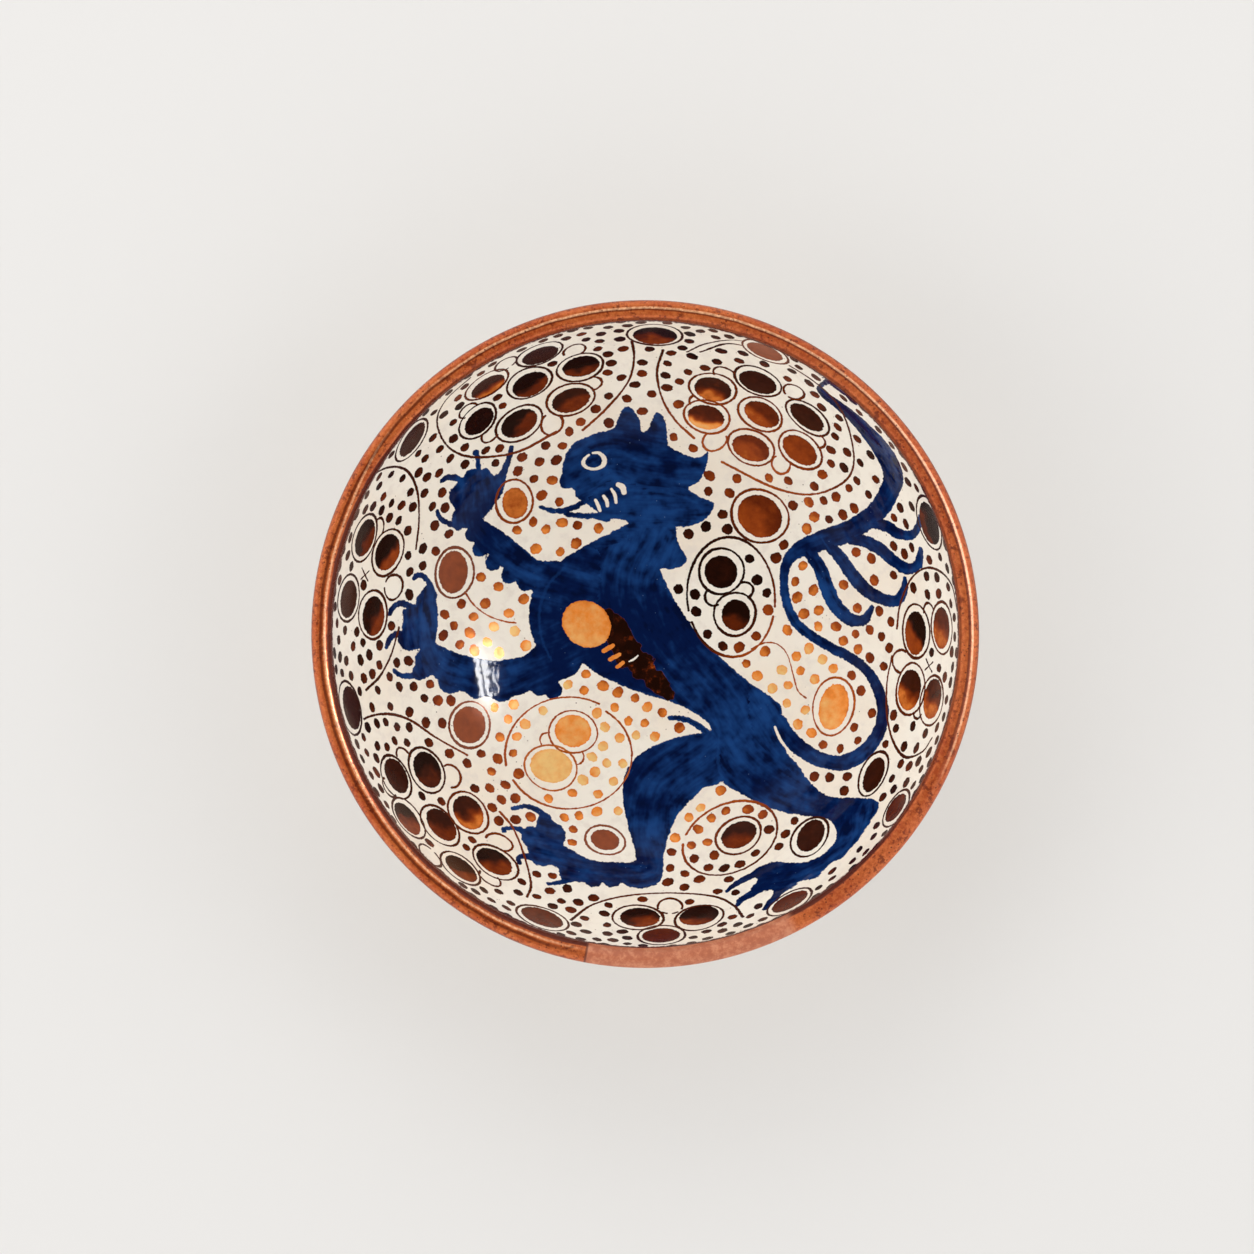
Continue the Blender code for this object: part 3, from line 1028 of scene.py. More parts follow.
    @staticmethod
    def inside(points: Array, outline: Array) -> Array:
        """Whether each point lies inside a closed outline, by counting crossings."""
        result = np.zeros(len(points), bool)
        x, y = points[:, 0], points[:, 1]
        for (ax, ay), (bx, by) in zip(outline, np.roll(outline, -1, axis=0)):
            if ay == by:
                continue
            crosses = (ay > y) != (by > y)
            result ^= crosses & (x < (bx - ax) * (y - ay) / (by - ay) + ax)
        return result

    @staticmethod
    def to_outline(points: Array, outline: Array) -> Array:
        """The distance of each point to the nearest stretch of an outline, in pixels."""
        best = np.full(len(points), np.inf)
        for a, b in zip(outline, np.roll(outline, -1, axis=0)):
            way = b - a
            length = max(float(way @ way), 1e-9)
            share = np.clip(((points - a) @ way) / length, 0, 1)
            best = np.minimum(best, np.sum((points - a - share[:, None] * way) ** 2, axis=1))
        return np.sqrt(best)

    def distance(self, places: Array) -> Array:
        """How far outside the figure's masses each place is, in metres, and below 0 inside."""
        pixels = self.surface.view.pixels_of(places)
        best = np.full(len(pixels), FAR)
        for outline in self.outlines:
            low, high = outline.min(axis=0) - 30, outline.max(axis=0) + 30
            near = np.flatnonzero(np.all((pixels > low) & (pixels < high), axis=1))
            away = self.to_outline(pixels[near], outline)
            away[self.inside(pixels[near], outline)] *= -1
            best[near] = np.minimum(best[near], away)
        for limb in self.limbs:
            for x, y, half in limb:
                best = np.minimum(best, np.hypot(pixels[:, 0] - x, pixels[:, 1] - y) - half)
        for (x, y), radius in self.rounds:
            best = np.minimum(best, np.hypot(pixels[:, 0] - x, pixels[:, 1] - y) - radius)
        return best * self.pixel

    @staticmethod
    def brushed(rows: Iterable[Sequence[Sequence[float]]], tone: float = 1.0) -> list[Stroke]:
        """Strokes from rows of (x, y, half width), all in pixels as seen."""
        strokes = []
        for row in rows:
            line = smooth_line(row)
            widths = np.maximum(line[:, 2], Beast.finest) * Beast.pixel / MM
            strokes.append(Stroke(line[:, :2], widths, tone, seen=True))
        return strokes

    def blue_layers(self, brush: Brush) -> list[list[StrokeSamples]]:
        """Tail, tufts, claws and tongue, shared out so that none comes near another in one layer."""
        rows = [self.tail, *self.tufts, *self.claws, *self.thin]
        return share_out(brush.all_samples(self.brushed(rows)), self.stroke_gap, 2, from_edges=True)

    def brush_runs(self) -> list[Stroke]:
        """The lines along which the brush filled the limbs and the body."""
        runs = [Stroke(smooth_line(spine), 0.0) for spine in self.spines]
        return runs + self.brushed([self.tail, *self.tufts])

    def clearance(self, layers: list[list[StrokeSamples]]) -> Callable[[Array], Array]:
        """Gives how far places are from everything blue, in metres."""
        places, widths = joined([laid for layer in layers for laid in layer], "places", "widths")
        widths = widths * MM

        def away(points: Array) -> Array:
            """The distance to the nearest blue edge."""
            best = self.distance(points)
            for start in range(0, len(points), self.chunk):
                part = slice(start, start + self.chunk)
                gaps = np.linalg.norm(points[part, None] - places[None], axis=2) - widths
                best[part] = np.minimum(best[part], gaps.min(axis=1))
            return best

        return away


@dataclass
class Zone:
    """A part of the turned outline that is divided the same way all round."""

    name: str
    outline: list[tuple[float, float]]
    steps: int


@dataclass
class BowlBody:
    """The one piece: the thrown and turned bowl, from the middle of its floor over the lip to its foot.

    Attributes:
        form: Its outline's dimensions.
        top: The height of the lip's top, which nothing passes.
        row: How far apart the rows of faces are inside, in metres.
        outside_row: The same outside.
        seam_radii: The radii at which the division gets finer, inside.
        seam_steps: How many faces go round, from the middle outwards.
        outside_steps: How many faces go round outside.
        lip_rows: How many rows of faces the lip's roll has.
        corner_rows: How many rows each of the foot's round corners has.
        cove_rows: How many rows the hollow under the roll has.
        under_rows: How many rows the underside has, inside the foot ring.
        merge: How near points are when they are one, in metres.
        seam_merge: The same where two zones meet.
    """

    form: BowlForm
    top: float
    row: float = 1.5 * MM
    outside_row: float = 2.6 * MM
    seam_radii: tuple[float, ...] = (0.012, 0.050, 0.100)
    seam_steps: tuple[int, ...] = (40, 160, 320, 640)
    outside_steps: int = 160
    lip_rows: int = 20
    corner_rows: int = 5
    cove_rows: int = 6
    under_rows: int = 12
    merge: float = 0.00001
    seam_merge: float = 0.0001

    def inside_outline(self, start: float, end: float) -> list[tuple[float, float]]:
        """The inside between two radii, in even rows."""
        runs = [float(self.form.run_at_slope(self.form.slope_at(np.array(r)))) for r in (start, end)]
        count = max(2, round((runs[1] - runs[0]) / self.row))
        slopes = self.form.slope_at_run(np.linspace(*runs, count + 1))
        return [self.form.inside(float(slope)) for slope in slopes]

    def lip_outline(self) -> list[tuple[float, float]]:
        """Over the roll, from just past its inner edge to its under side, through the widest point."""
        over = round(self.lip_rows * 0.8)
        under = self.lip_rows - over
        angles = [self.form.roll_start * (1 - i / over) for i in range(1, over + 1)]
        angles += [self.form.roll_end * i / under for i in range(1, under + 1)]
        return [(r, min(z, self.top)) for r, z in map(self.form.roll, angles)]

    def cove_outline(self) -> list[tuple[float, float]]:
        """The hollow under the roll, a cubic curve that leads into the outside wall."""
        form = self.form
        start, end = np.array(form.roll(form.roll_end)), np.array(form.outside(form.wall_starts))
        leaves = np.array((sin(form.roll_end), -cos(form.roll_end))) * form.cove_reach
        joins = np.array((-cos(form.wall_starts), -sin(form.wall_starts))) * form.cove_reach
        controls = (start, start + leaves, end - joins, end)
        points = []
        for t in np.arange(self.cove_rows) / self.cove_rows:
            u = 1 - t
            point = sum(w * c for w, c in zip((u**3, 3 * u * u * t, 3 * u * t * t, t**3), controls))
            points.append((float(point[0]), float(point[1])))
        return points

    def rounded(self, r: float, z: float, first: float, last: float) -> list[tuple[float, float]]:
        """A small quarter round about (r, z), between two directions."""
        size = self.form.foot_round
        angles = [first + (last - first) * i / self.corner_rows for i in range(self.corner_rows + 1)]
        return [(r + size * cos(a), z + size * sin(a)) for a in angles]

    def foot_outline(self) -> list[tuple[float, float]]:
        """Down the ring's outer side, under it, up inside it and over the underside to its middle."""
        form = self.form
        outer = form.foot_diameter / 2 + form.foot_flare
        inner = form.foot_diameter / 2 - form.foot_band
        inset = form.foot_round
        ring = self.rounded(outer - inset, inset, 0, -pi / 2)
        ring += self.rounded(inner + inset, inset, -pi / 2, -pi)
        rise = form.hollow_at_middle - form.hollow_at_ring
        for i in range(self.under_rows + 1):
            share = i / self.under_rows
            ring.append(((inner - form.foot_flare) * (1 - share), form.hollow_at_ring + rise * share))
        return ring

    def outside_outline(self) -> list[tuple[float, float]]:
        """From the lip's under side to the middle of the underside."""
        form = self.form
        foot = form.slope_at_foot()
        length = (form.wall_starts - foot) * form.wall_arc_radius
        count = round(length / self.outside_row)
        slopes = [form.wall_starts + (foot - form.wall_starts) * i / count for i in range(count + 1)]
        wall = [form.outside(slope) for slope in slopes]
        return self.cove_outline() + wall + self.foot_outline()

    def zones(self) -> list[Zone]:
        """The whole outline in zones, from the middle of the floor round to the underside's middle."""
        radii = (0.0, *self.seam_radii, self.form.mouth_radius)
        names = ("floor_middle", "floor", "lower_wall", "upper_wall")
        zones = [
            Zone(name, self.inside_outline(start, end), steps)
            for name, start, end, steps in zip(names, radii, radii[1:], self.seam_steps)
        ]
        zones[-1].outline += self.lip_outline()
        zones.append(Zone("outside", self.outside_outline(), self.outside_steps))
        return zones

    def turn(self, zone: Zone) -> Object:
        """Draws a zone's outline point by point and spins it about the bowl's axis."""
        bpy.ops.object.select_all(action="DESELECT")
        bpy.ops.mesh.primitive_plane_add(size=MM)
        piece = bpy.context.object
        piece.name = zone.name
        bpy.ops.object.mode_set(mode="EDIT")
        bpy.ops.mesh.select_all(action="SELECT")
        bpy.ops.mesh.merge(type="CENTER")
        bpy.ops.transform.translate(value=(zone.outline[0][0], 0, zone.outline[0][1]))
        for (r, z), (next_r, next_z) in zip(zone.outline, zone.outline[1:]):
            bpy.ops.mesh.extrude_region_move(TRANSFORM_OT_translate={"value": (next_r - r, 0, next_z - z)})
        bpy.ops.mesh.select_all(action="SELECT")
        bpy.ops.mesh.spin(steps=zone.steps, angle=2 * pi, center=(0, 0, 0), axis=(0, 0, 1))
        bpy.ops.mesh.select_all(action="SELECT")
        bpy.ops.mesh.remove_doubles(threshold=self.merge)
        bpy.ops.mesh.select_all(action="DESELECT")
        bpy.ops.object.mode_set(mode="OBJECT")
        return piece

    def divide_edge(self, piece: Object, at: tuple[float, float], cuts: int) -> None:
        """Cuts the edges of one round border so that it meets a finer zone, point to point."""
        for vertex in piece.data.vertices:
            radius = hypot(vertex.co.x, vertex.co.y)
            vertex.select = hypot(radius - at[0], vertex.co.z - at[1]) < self.seam_merge
        bpy.ops.object.select_all(action="DESELECT")
        piece.select_set(True)
        bpy.context.view_layer.objects.active = piece
        bpy.ops.object.mode_set(mode="EDIT")
        bpy.ops.mesh.subdivide(number_cuts=cuts)
        bpy.ops.mesh.select_all(action="DESELECT")
        bpy.ops.object.mode_set(mode="OBJECT")

    def build(self) -> Object:
        """Turns every zone, joins them and closes the seams."""
        zones = self.zones()
        pieces = [self.turn(zone) for zone in zones]
        for zone, following, piece, next_piece in zip(zones, zones[1:], pieces, pieces[1:]):
            ratio = following.steps / zone.steps
            coarse = piece if ratio > 1 else next_piece
            self.divide_edge(coarse, zone.outline[-1], round(max(ratio, 1 / ratio)) - 1)
        bpy.ops.object.select_all(action="DESELECT")
        for piece in pieces:
            piece.select_set(True)
        bowl = pieces[0]
        bpy.context.view_layer.objects.active = bowl
        bpy.ops.object.join()
        bowl.name = bowl.data.name = "lustred_bowl"
        bpy.ops.object.mode_set(mode="EDIT")
        bpy.ops.mesh.select_all(action="SELECT")
        bpy.ops.mesh.remove_doubles(threshold=self.seam_merge)
        bpy.ops.mesh.normals_make_consistent(inside=False)
        bpy.ops.mesh.select_all(action="DESELECT")
        bpy.ops.object.mode_set(mode="OBJECT")
        bpy.ops.object.shade_smooth_by_angle(angle=radians(42))
        return bowl

    def outline(self) -> Array:
        """The whole outline as (radius, height, length from the floor's middle)."""
        points = np.array([point for zone in self.zones() for point in zone.outline])
        return np.column_stack([points, run_along(points)])


class MeshData:
    """A mesh's points, corners and faces as arrays, and its attributes and UV map."""

    def __init__(self, mesh: Mesh) -> None:
        """Reads the mesh."""
        self.mesh = mesh
        self.points = self.read(mesh.vertices, "co", 3)
        self.corner_point = self.read(mesh.loops, "vertex_index", 1, np.int32)
        self.face_centre = self.read(mesh.polygons, "center", 3)
        counts = self.read(mesh.polygons, "loop_total", 1, np.int32)
        self.corner_face = np.repeat(np.arange(len(counts)), counts)

    @staticmethod
    def read(items: Iterable, name: str, width: int, kind: type = np.float32) -> Array:
        """One property of all items as an array."""
        values = np.empty(len(items) * width, kind)
        items.foreach_get(name, values)
        return values.reshape(-1, width).astype(float) if width > 1 else values

    def write(self, name: str, domain: str, values: Array) -> None:
        """Adds an attribute of numbers or of vectors."""
        vectors = values.ndim == 2
        kind, field_name = ("FLOAT_VECTOR", "vector") if vectors else ("FLOAT", "value")
        attribute = self.mesh.attributes.new(name, kind, domain)
        attribute.data.foreach_set(field_name, np.ascontiguousarray(values, np.float32).ravel())


class PaintLayers:
    """Puts the painting on the mesh: for each face, where its corners lie on the nearest marks."""

    chunk = 1500
    neighbours = np.arange(-4, 5)
    end_samples = 6
    before_end = -3.0
    limbs_apart = 37.0

    def __init__(self, data: MeshData, painted: Array, surface: Surface) -> None:
        """Keeps the painted faces and their corners.

        Args:
            data: The bowl's mesh.
            painted: Which faces are on the inside, one truth value for each.
            surface: The surface that the marks lie on.
        """
        self.data = data
        self.surface = surface
        self.faces = np.flatnonzero(painted)
        self.corners = np.flatnonzero(painted[data.corner_face])
        self.centres = data.face_centre[self.faces]
        self.places = data.points[data.corner_point[self.corners]]
        order = np.full(len(painted), -1)
        order[self.faces] = np.arange(len(self.faces))
        self.face_of = order[data.corner_face[self.corners]]

    def nearest(self, marks: Array, reach: Array) -> Array:
        """For each painted face, the mark whose edge is nearest to the face's centre."""
        best = np.empty(len(self.centres), int)
        marks, reach = marks.astype(np.float32), reach.astype(np.float32)
        squares = np.sum(marks**2, axis=1)
        for start in range(0, len(self.centres), self.chunk):
            here = self.centres[start : start + self.chunk].astype(np.float32)
            away = np.sum(here**2, axis=1)[:, None] + squares[None] - 2 * here @ marks.T
            best[start : start + self.chunk] = np.argmin(np.sqrt(np.maximum(away, 0)) - reach[None], axis=1)
        return best

    def write(self, name: str, values: Array, otherwise: float = FAR) -> None:
        """Writes corner values, with the same number wherever nothing is painted."""
        shape = (len(self.data.corner_point), *values.shape[1:])
        whole = np.full(shape, otherwise)
        whole[self.corners] = values
        self.data.write(name, "CORNER", whole)

    def strokes(self, name: str, laid: Sequence[StrokeSamples]) -> None:
        """Writes a layer of strokes as (across, past the end, half width), in millimetres."""
        counts = np.array([len(stroke.places) for stroke in laid])
        starts = np.append(0, np.cumsum(counts))
        first = np.repeat(starts[:-1], counts)
        last = np.repeat(starts[1:] - 1, counts)
        places, ways, across = joined(laid, "places", "ways", "across")
        ends, widths, tones = joined(laid, "ends", "widths", "tones")
        seeds = self.nearest(places, widths * MM)[self.face_of]
        choice = np.clip(seeds[:, None] + self.neighbours, first[seeds][:, None], last[seeds][:, None])
        gaps = np.linalg.norm(self.places[:, None] - places[choice], axis=2)
        picked = choice[np.arange(len(choice)), np.argmin(gaps, axis=1)]
        offset = self.places - places[picked]
        side = np.sum(offset * across[picked], axis=1) / MM
        past = np.full(len(picked), self.before_end)
        for end in (first[picked], last[picked]):
            beyond = ends[end] * np.sum((self.places - places[end]) * ways[end], axis=1) / MM
            near = (np.abs(picked - end) <= self.end_samples) & (ends[end] != 0)
            past = np.where(near, np.maximum(past, beyond), past)
        self.write(name, np.column_stack([side, past, widths[picked]]))
        self.write(name + "_tone", tones[picked], 0.0)

    def spots(
        self, name: str, centres: Array, halves: Array, tilts: Array, tones: Array, shades: Array
    ) -> None:
        """Writes filled rounds as (right, up, size), two in half widths and the size in millimetres."""
        right, up = self.surface.axes(centres)
        turn = np.radians(tilts)[:, None]
        right, up = right * np.cos(turn) + up * np.sin(turn), up * np.cos(turn) - right * np.sin(turn)
        picked = self.nearest(centres, halves.mean(axis=1) * MM)[self.face_of]
        offset = (self.places - centres[picked]) / MM
        u = np.sum(offset * right[picked], axis=1) / halves[picked, 0]
        v = np.sum(offset * up[picked], axis=1) / halves[picked, 1]
        self.write(name, np.column_stack([u, v, halves[picked].min(axis=1)]))
        self.write(name + "_tone", tones[picked], 0.0)
        self.write(name + "_shade", shades[picked], 0.0)

    def brushwork(self, name: str, laid: Sequence[StrokeSamples]) -> None:
        """Writes how the brush ran over the figure: (along, across, which limb), in millimetres."""
        places, ways, across, widths = joined(laid, "places", "ways", "across", "widths")
        which = np.concatenate([np.full(len(s.places), i) for i, s in enumerate(laid)])
        along = np.concatenate([run_along(s.places) for s in laid])
        picked = self.nearest(places, widths * MM)[self.face_of]
        offset = self.places - places[picked]
        ahead = (along[picked] + np.sum(offset * ways[picked], axis=1)) / MM
        side = np.sum(offset * across[picked], axis=1) / MM
        self.write(name, np.column_stack([ahead, side, which[picked] * self.limbs_apart]))

    def figure(self, name: str, distance: Callable[[Array], Array]) -> None:
        """Writes how far each point is outside the figure's masses, in millimetres."""
        used = np.unique(self.data.corner_point[self.corners])
        whole = np.full(len(self.data.points), FAR)
        whole[used] = distance(self.data.points[used]) / MM
        self.data.write(name, "POINT", whole)


def operator(operation: str, swapped: bool = False) -> Callable[["Value", "Value | float"], "Value"]:
    """A method for Python's own arithmetic on a value, which adds the Math node of this operation."""

    def method(self: "Value", other: "Value | float") -> "Value":
        """The result for the two numbers, in order or swapped."""
        pair = (other, self) if swapped else (self, other)
        return self.graph.math(operation, *pair)

    return method


class Value:
    """A number in a material. Arithmetic on it adds the Math nodes."""

    def __init__(self, graph: "Graph", socket: NodeSocket) -> None:
        """Wraps an output socket."""
        self.graph = graph
        self.socket = socket

    def math(self, operation: str, *others: "Value | float", clamp: bool = False) -> "Value":
        """The result of a Math node on this number and the others."""
        return self.graph.math(operation, self, *others, clamp=clamp)

    __add__ = __radd__ = operator("ADD")
    __sub__, __rsub__ = operator("SUBTRACT"), operator("SUBTRACT", swapped=True)
    __mul__ = __rmul__ = operator("MULTIPLY")
    __truediv__, __rtruediv__ = operator("DIVIDE"), operator("DIVIDE", swapped=True)
    __pow__ = operator("POWER")
    at_least, at_most = operator("MAXIMUM"), operator("MINIMUM")

    def within(self) -> "Value":
        """Held between 0 and 1."""
        return self.math("ADD", 0.0, clamp=True)

    def size(self) -> "Value":
        """Without its sign."""
        return self.math("ABSOLUTE")

    def sine(self) -> "Value":
        """Its sine."""
        return self.math("SINE")

    def rise(self, low: float, high: float) -> "Value":
        """0 up to low, 1 from high on, and smooth between. With low above high it falls."""
        node = self.graph.node(
            "ShaderNodeMapRange",
            {"interpolation_type": "SMOOTHSTEP"},
            {"Value": self, "From Min": low, "From Max": high},
        )
        return Value(self.graph, node.outputs["Result"])

    def inked(self, blur: float) -> "Value":
        """1 inside a mark and 0 outside, from how far outside it a place lies."""
        return (0.5 - self / blur).within()

    def towards(self, other: "Value | float", share: "Value | float") -> "Value":
        """This number where share is 0 and the other where it is 1."""
        return self + (other - self) * share


class Graph:
    """A material's nodes."""

    def __init__(self, name: str) -> None:
        """Starts an empty material."""
        self.material: Material = bpy.data.materials.new(name)
        self.material.use_nodes = True
        self.tree = self.material.node_tree
        self.tree.nodes.clear()
        self.place = self.node("ShaderNodeTexCoord").outputs["Object"]

    def node(self, kind: str, settings: dict | None = None, inputs: dict | None = None) -> Node:
        """Adds a node.

        Args:
            kind: The node's type.
            settings: What is set on the node itself, first, such as an operation or a ramp's stops.
            inputs: Values or links for its sockets, by name or by index.
        """
        node = self.tree.nodes.new(kind)
        for name, value in (settings or {}).items():
            if name == "stops":
                self.set_stops(node, value)
            else:
                setattr(node, name, value)
        for key, value in (inputs or {}).items():
            socket = node.inputs[key]
            if isinstance(value, Value):
                self.tree.links.new(value.socket, socket)
            elif isinstance(value, NodeSocket):
                self.tree.links.new(value, socket)
            elif socket.type == "RGBA":
                socket.default_value = (*value, 1.0)
            else:
                socket.default_value = value
        return node

    @staticmethod
    def set_stops(node: Node, stops: Sequence[tuple[float, Colour]]) -> None:
        """Sets a ramp's stops."""
        elements = node.color_ramp.elements
        while len(elements) < len(stops):
            elements.new(1.0)
        for element, (position, colour) in zip(elements, stops):
            element.position = position
            element.color = (*colour, 1.0)

    def math(self, operation: str, *values: "Value | float", clamp: bool = False) -> Value:
        """A Math node on values and numbers."""
        settings = {"operation": operation, "use_clamp": clamp}
        return Value(self, self.node("ShaderNodeMath", settings, dict(enumerate(values))).outputs[0])

    def attribute(self, name: str) -> Value:
        """A number that the mesh carries."""
        return Value(self, self.node("ShaderNodeAttribute", {"attribute_name": name}).outputs["Fac"])

    def split(self, vector: NodeSocket) -> tuple[Value, Value, Value]:
        """A vector's three numbers."""
        node = self.node("ShaderNodeSeparateXYZ", None, {0: vector})
        x, y, z = (Value(self, output) for output in node.outputs)
        return x, y, z

    def vector_attribute(self, name: str) -> NodeSocket:
        """A vector that the mesh carries."""
        return self.node("ShaderNodeAttribute", {"attribute_name": name}).outputs["Vector"]

    def scaled(self, vector: NodeSocket, by: tuple[float, float, float]) -> NodeSocket:
        """A vector with its three numbers multiplied."""
        node = self.node("ShaderNodeVectorMath", {"operation": "MULTIPLY"}, {0: vector, 1: by})
        return node.outputs["Vector"]

    def noise(
        self, scale: float, detail: float = 2, vector: NodeSocket | None = None, rough: float = 0.5
    ) -> Value:
        """Soft noise about 0.5, with this many features to the metre or to the vector's unit."""
        node = self.node(
            "ShaderNodeTexNoise",
            None,
            {"Vector": vector or self.place, "Scale": scale, "Detail": detail, "Roughness": rough},
        )
        return Value(self, node.outputs["Fac"])

    def cells(self, scale: float) -> Value:
        """The distance to the nearest of scattered points."""
        node = self.node("ShaderNodeTexVoronoi", None, {"Vector": self.place, "Scale": scale})
        return Value(self, node.outputs["Distance"])

    def bump(self, height: Value, strength: float) -> NodeSocket:
        """The surface's direction, tipped by a height in millimetres."""
        inputs = {"Strength": strength, "Distance": MM, "Height": height}
        return self.node("ShaderNodeBump", None, inputs).outputs["Normal"]

    def mix(
        self, share: Value | float, first: NodeSocket | Colour, second: NodeSocket | Colour
    ) -> NodeSocket:
        """The first colour where the share is 0 and the second where it is 1."""
        node = self.node("ShaderNodeMix", {"data_type": "RGBA"}, {0: share, 6: first, 7: second})
        return node.outputs[2]

    def ramp(self, at: Value, stops: Sequence[tuple[float, Colour]]) -> NodeSocket:
        """A colour by a number from 0 to 1."""
        return self.node("ShaderNodeValToRGB", {"stops": stops}, {0: at}).outputs["Color"]

    def finish(self, constants: dict, changing: dict) -> Material:
        """Adds the shader and the output.

        Args:
            constants: What is the same all over, by socket.
            changing: Links to sockets that change over the surface.
        """
        shader = self.node("ShaderNodeBsdfPrincipled", None, {**constants, **changing})
        self.node("ShaderNodeOutputMaterial", None, {"Surface": shader.outputs["BSDF"]})
        return self.material


@dataclass(frozen=True)
class TinGlaze:
    """The cream ground: glossy, a little mottled, with pits and specks."""

    cream: Colour = srgb(251, 243, 229)
    warm: Colour = srgb(246, 228, 205)
    grey: Colour = srgb(236, 225, 212)
    speck: Colour = srgb(120, 84, 62)
    roughness: float = 0.16
    specular: float = 0.13

    def colour(self, graph: Graph) -> NodeSocket:
        """Cream with broad warm areas, fine grey mottling and scattered specks."""
        broad = graph.noise(16, 2).rise(0.42, 0.72)
        fine = graph.noise(150, 3, rough=0.62).rise(0.46, 0.70)
        ground = graph.mix(broad * 0.55, self.cream, self.warm)
        ground = graph.mix(fine * 0.60, ground, self.grey)
        pits = graph.cells(260).rise(0.13, 0.06) * graph.noise(45, 1).rise(0.50, 0.62)
        return graph.mix(pits * 0.75, ground, self.speck)

    def height(self, graph: Graph) -> Value:
        """The glaze's own unevenness, in millimetres: slow waves from throwing and a fine ripple."""
        return graph.noise(30, 1) * 0.30 + graph.noise(170, 1) * 0.13


@dataclass(frozen=True)
class Cobalt:
    """The blue under the glaze: brushed on in streaks, with darker pools, lighter at its edges and with pale
    specks painted as tiny glints.

    It is darkest in the beast's middle, which is given in metres from the bowl's axis.
    """

    deep: Colour = srgb(2, 9, 38)
    body: Colour = srgb(4, 22, 66)
    thin: Colour = srgb(26, 68, 130)
    glint_speck: Colour = srgb(104, 128, 168)
    roughness: float = 0.05
    darkest: tuple[float, float] = (0.012, -0.008)

    def colour(self, graph: Graph, depth: Value, flow: NodeSocket) -> NodeSocket:
        """The blue by how deep inside its edge a place lies, in millimetres, and how the brush ran."""
        streaks = graph.noise(1.0, 2, graph.scaled(flow, (0.05, 0.22, 1.0)), 0.55)
        dabs = graph.noise(120, 2, rough=0.6)
        broad = graph.noise(24, 1)
        x, y, _ = graph.split(graph.place)
        across, up = x - self.darkest[0], y - self.darkest[1]
        outer = ((across * across + up * up) ** 0.5).rise(0.02, 0.07)
        thin = streaks * 0.46 + dabs * 0.46 + broad * 0.52 - 0.25 + outer * 0.09
        thin = thin.rise(0.46, 0.78)
        edge = depth.rise(1.7, 0.3) * broad.rise(0.44, 0.58)
        pooled = (streaks * 0.5 + dabs * 0.5).rise(0.47, 0.36)
        colour = graph.mix((thin * 0.9).at_least(edge * 0.55), self.body, self.thin)
        colour = graph.mix(pooled * 0.6, colour, self.deep)
        # pale specks on the blue: painted glints
        specks = graph.cells(230).rise(0.08, 0.05) * graph.noise(60, 1).rise(0.48, 0.56)
        return graph.mix(specks * 0.45, colour, self.glint_speck)


@dataclass(frozen=True)
class CopperLustre:
    """The metal film's colours by tone: near black where it is thick, through brown and copper to gold where
    it is thin. The tone that picks them carries painted reflection too.
    """

    stops: tuple[tuple[float, Colour], ...] = (
        (0.0, srgb(34, 11, 3)),
        (0.2, srgb(64, 23, 7)),
        (0.4, srgb(112, 41, 8)),
        (0.6, srgb(166, 72, 20)),
        (0.8, srgb(250, 146, 60)),
        (1.0, srgb(255, 206, 130)),
    )
    dull: Colour = srgb(152, 98, 76)
    roughness: float = 0.20


@dataclass(frozen=True)
class LipLustre:
    """The lustre all over the lip: copper and speckled, with painted highlights, painted dark reflection
    lines and a matt mended length.
    """

    copper: Colour = srgb(178, 74, 25)
    light: Colour = srgb(220, 120, 60)
    # worn: the pale copper of the painted highlights along the roll
    worn: Colour = srgb(255, 198, 150)
    brown: Colour = srgb(86, 22, 4)
    mend: Colour = srgb(178, 98, 64)
    mend_light: Colour = srgb(202, 130, 94)
    metallic: float = 0.34
    roughness: float = 0.26
    mend_start: float = radians(-100.5)
    mend_end: float = radians(-63)


@dataclass(frozen=True)
class BareClay:
    """The foot's flat, where the glaze was wiped off."""

    buff: Colour = srgb(206, 176, 142)
    dark: Colour = srgb(160, 124, 92)
    worn: Colour = srgb(128, 104, 84)


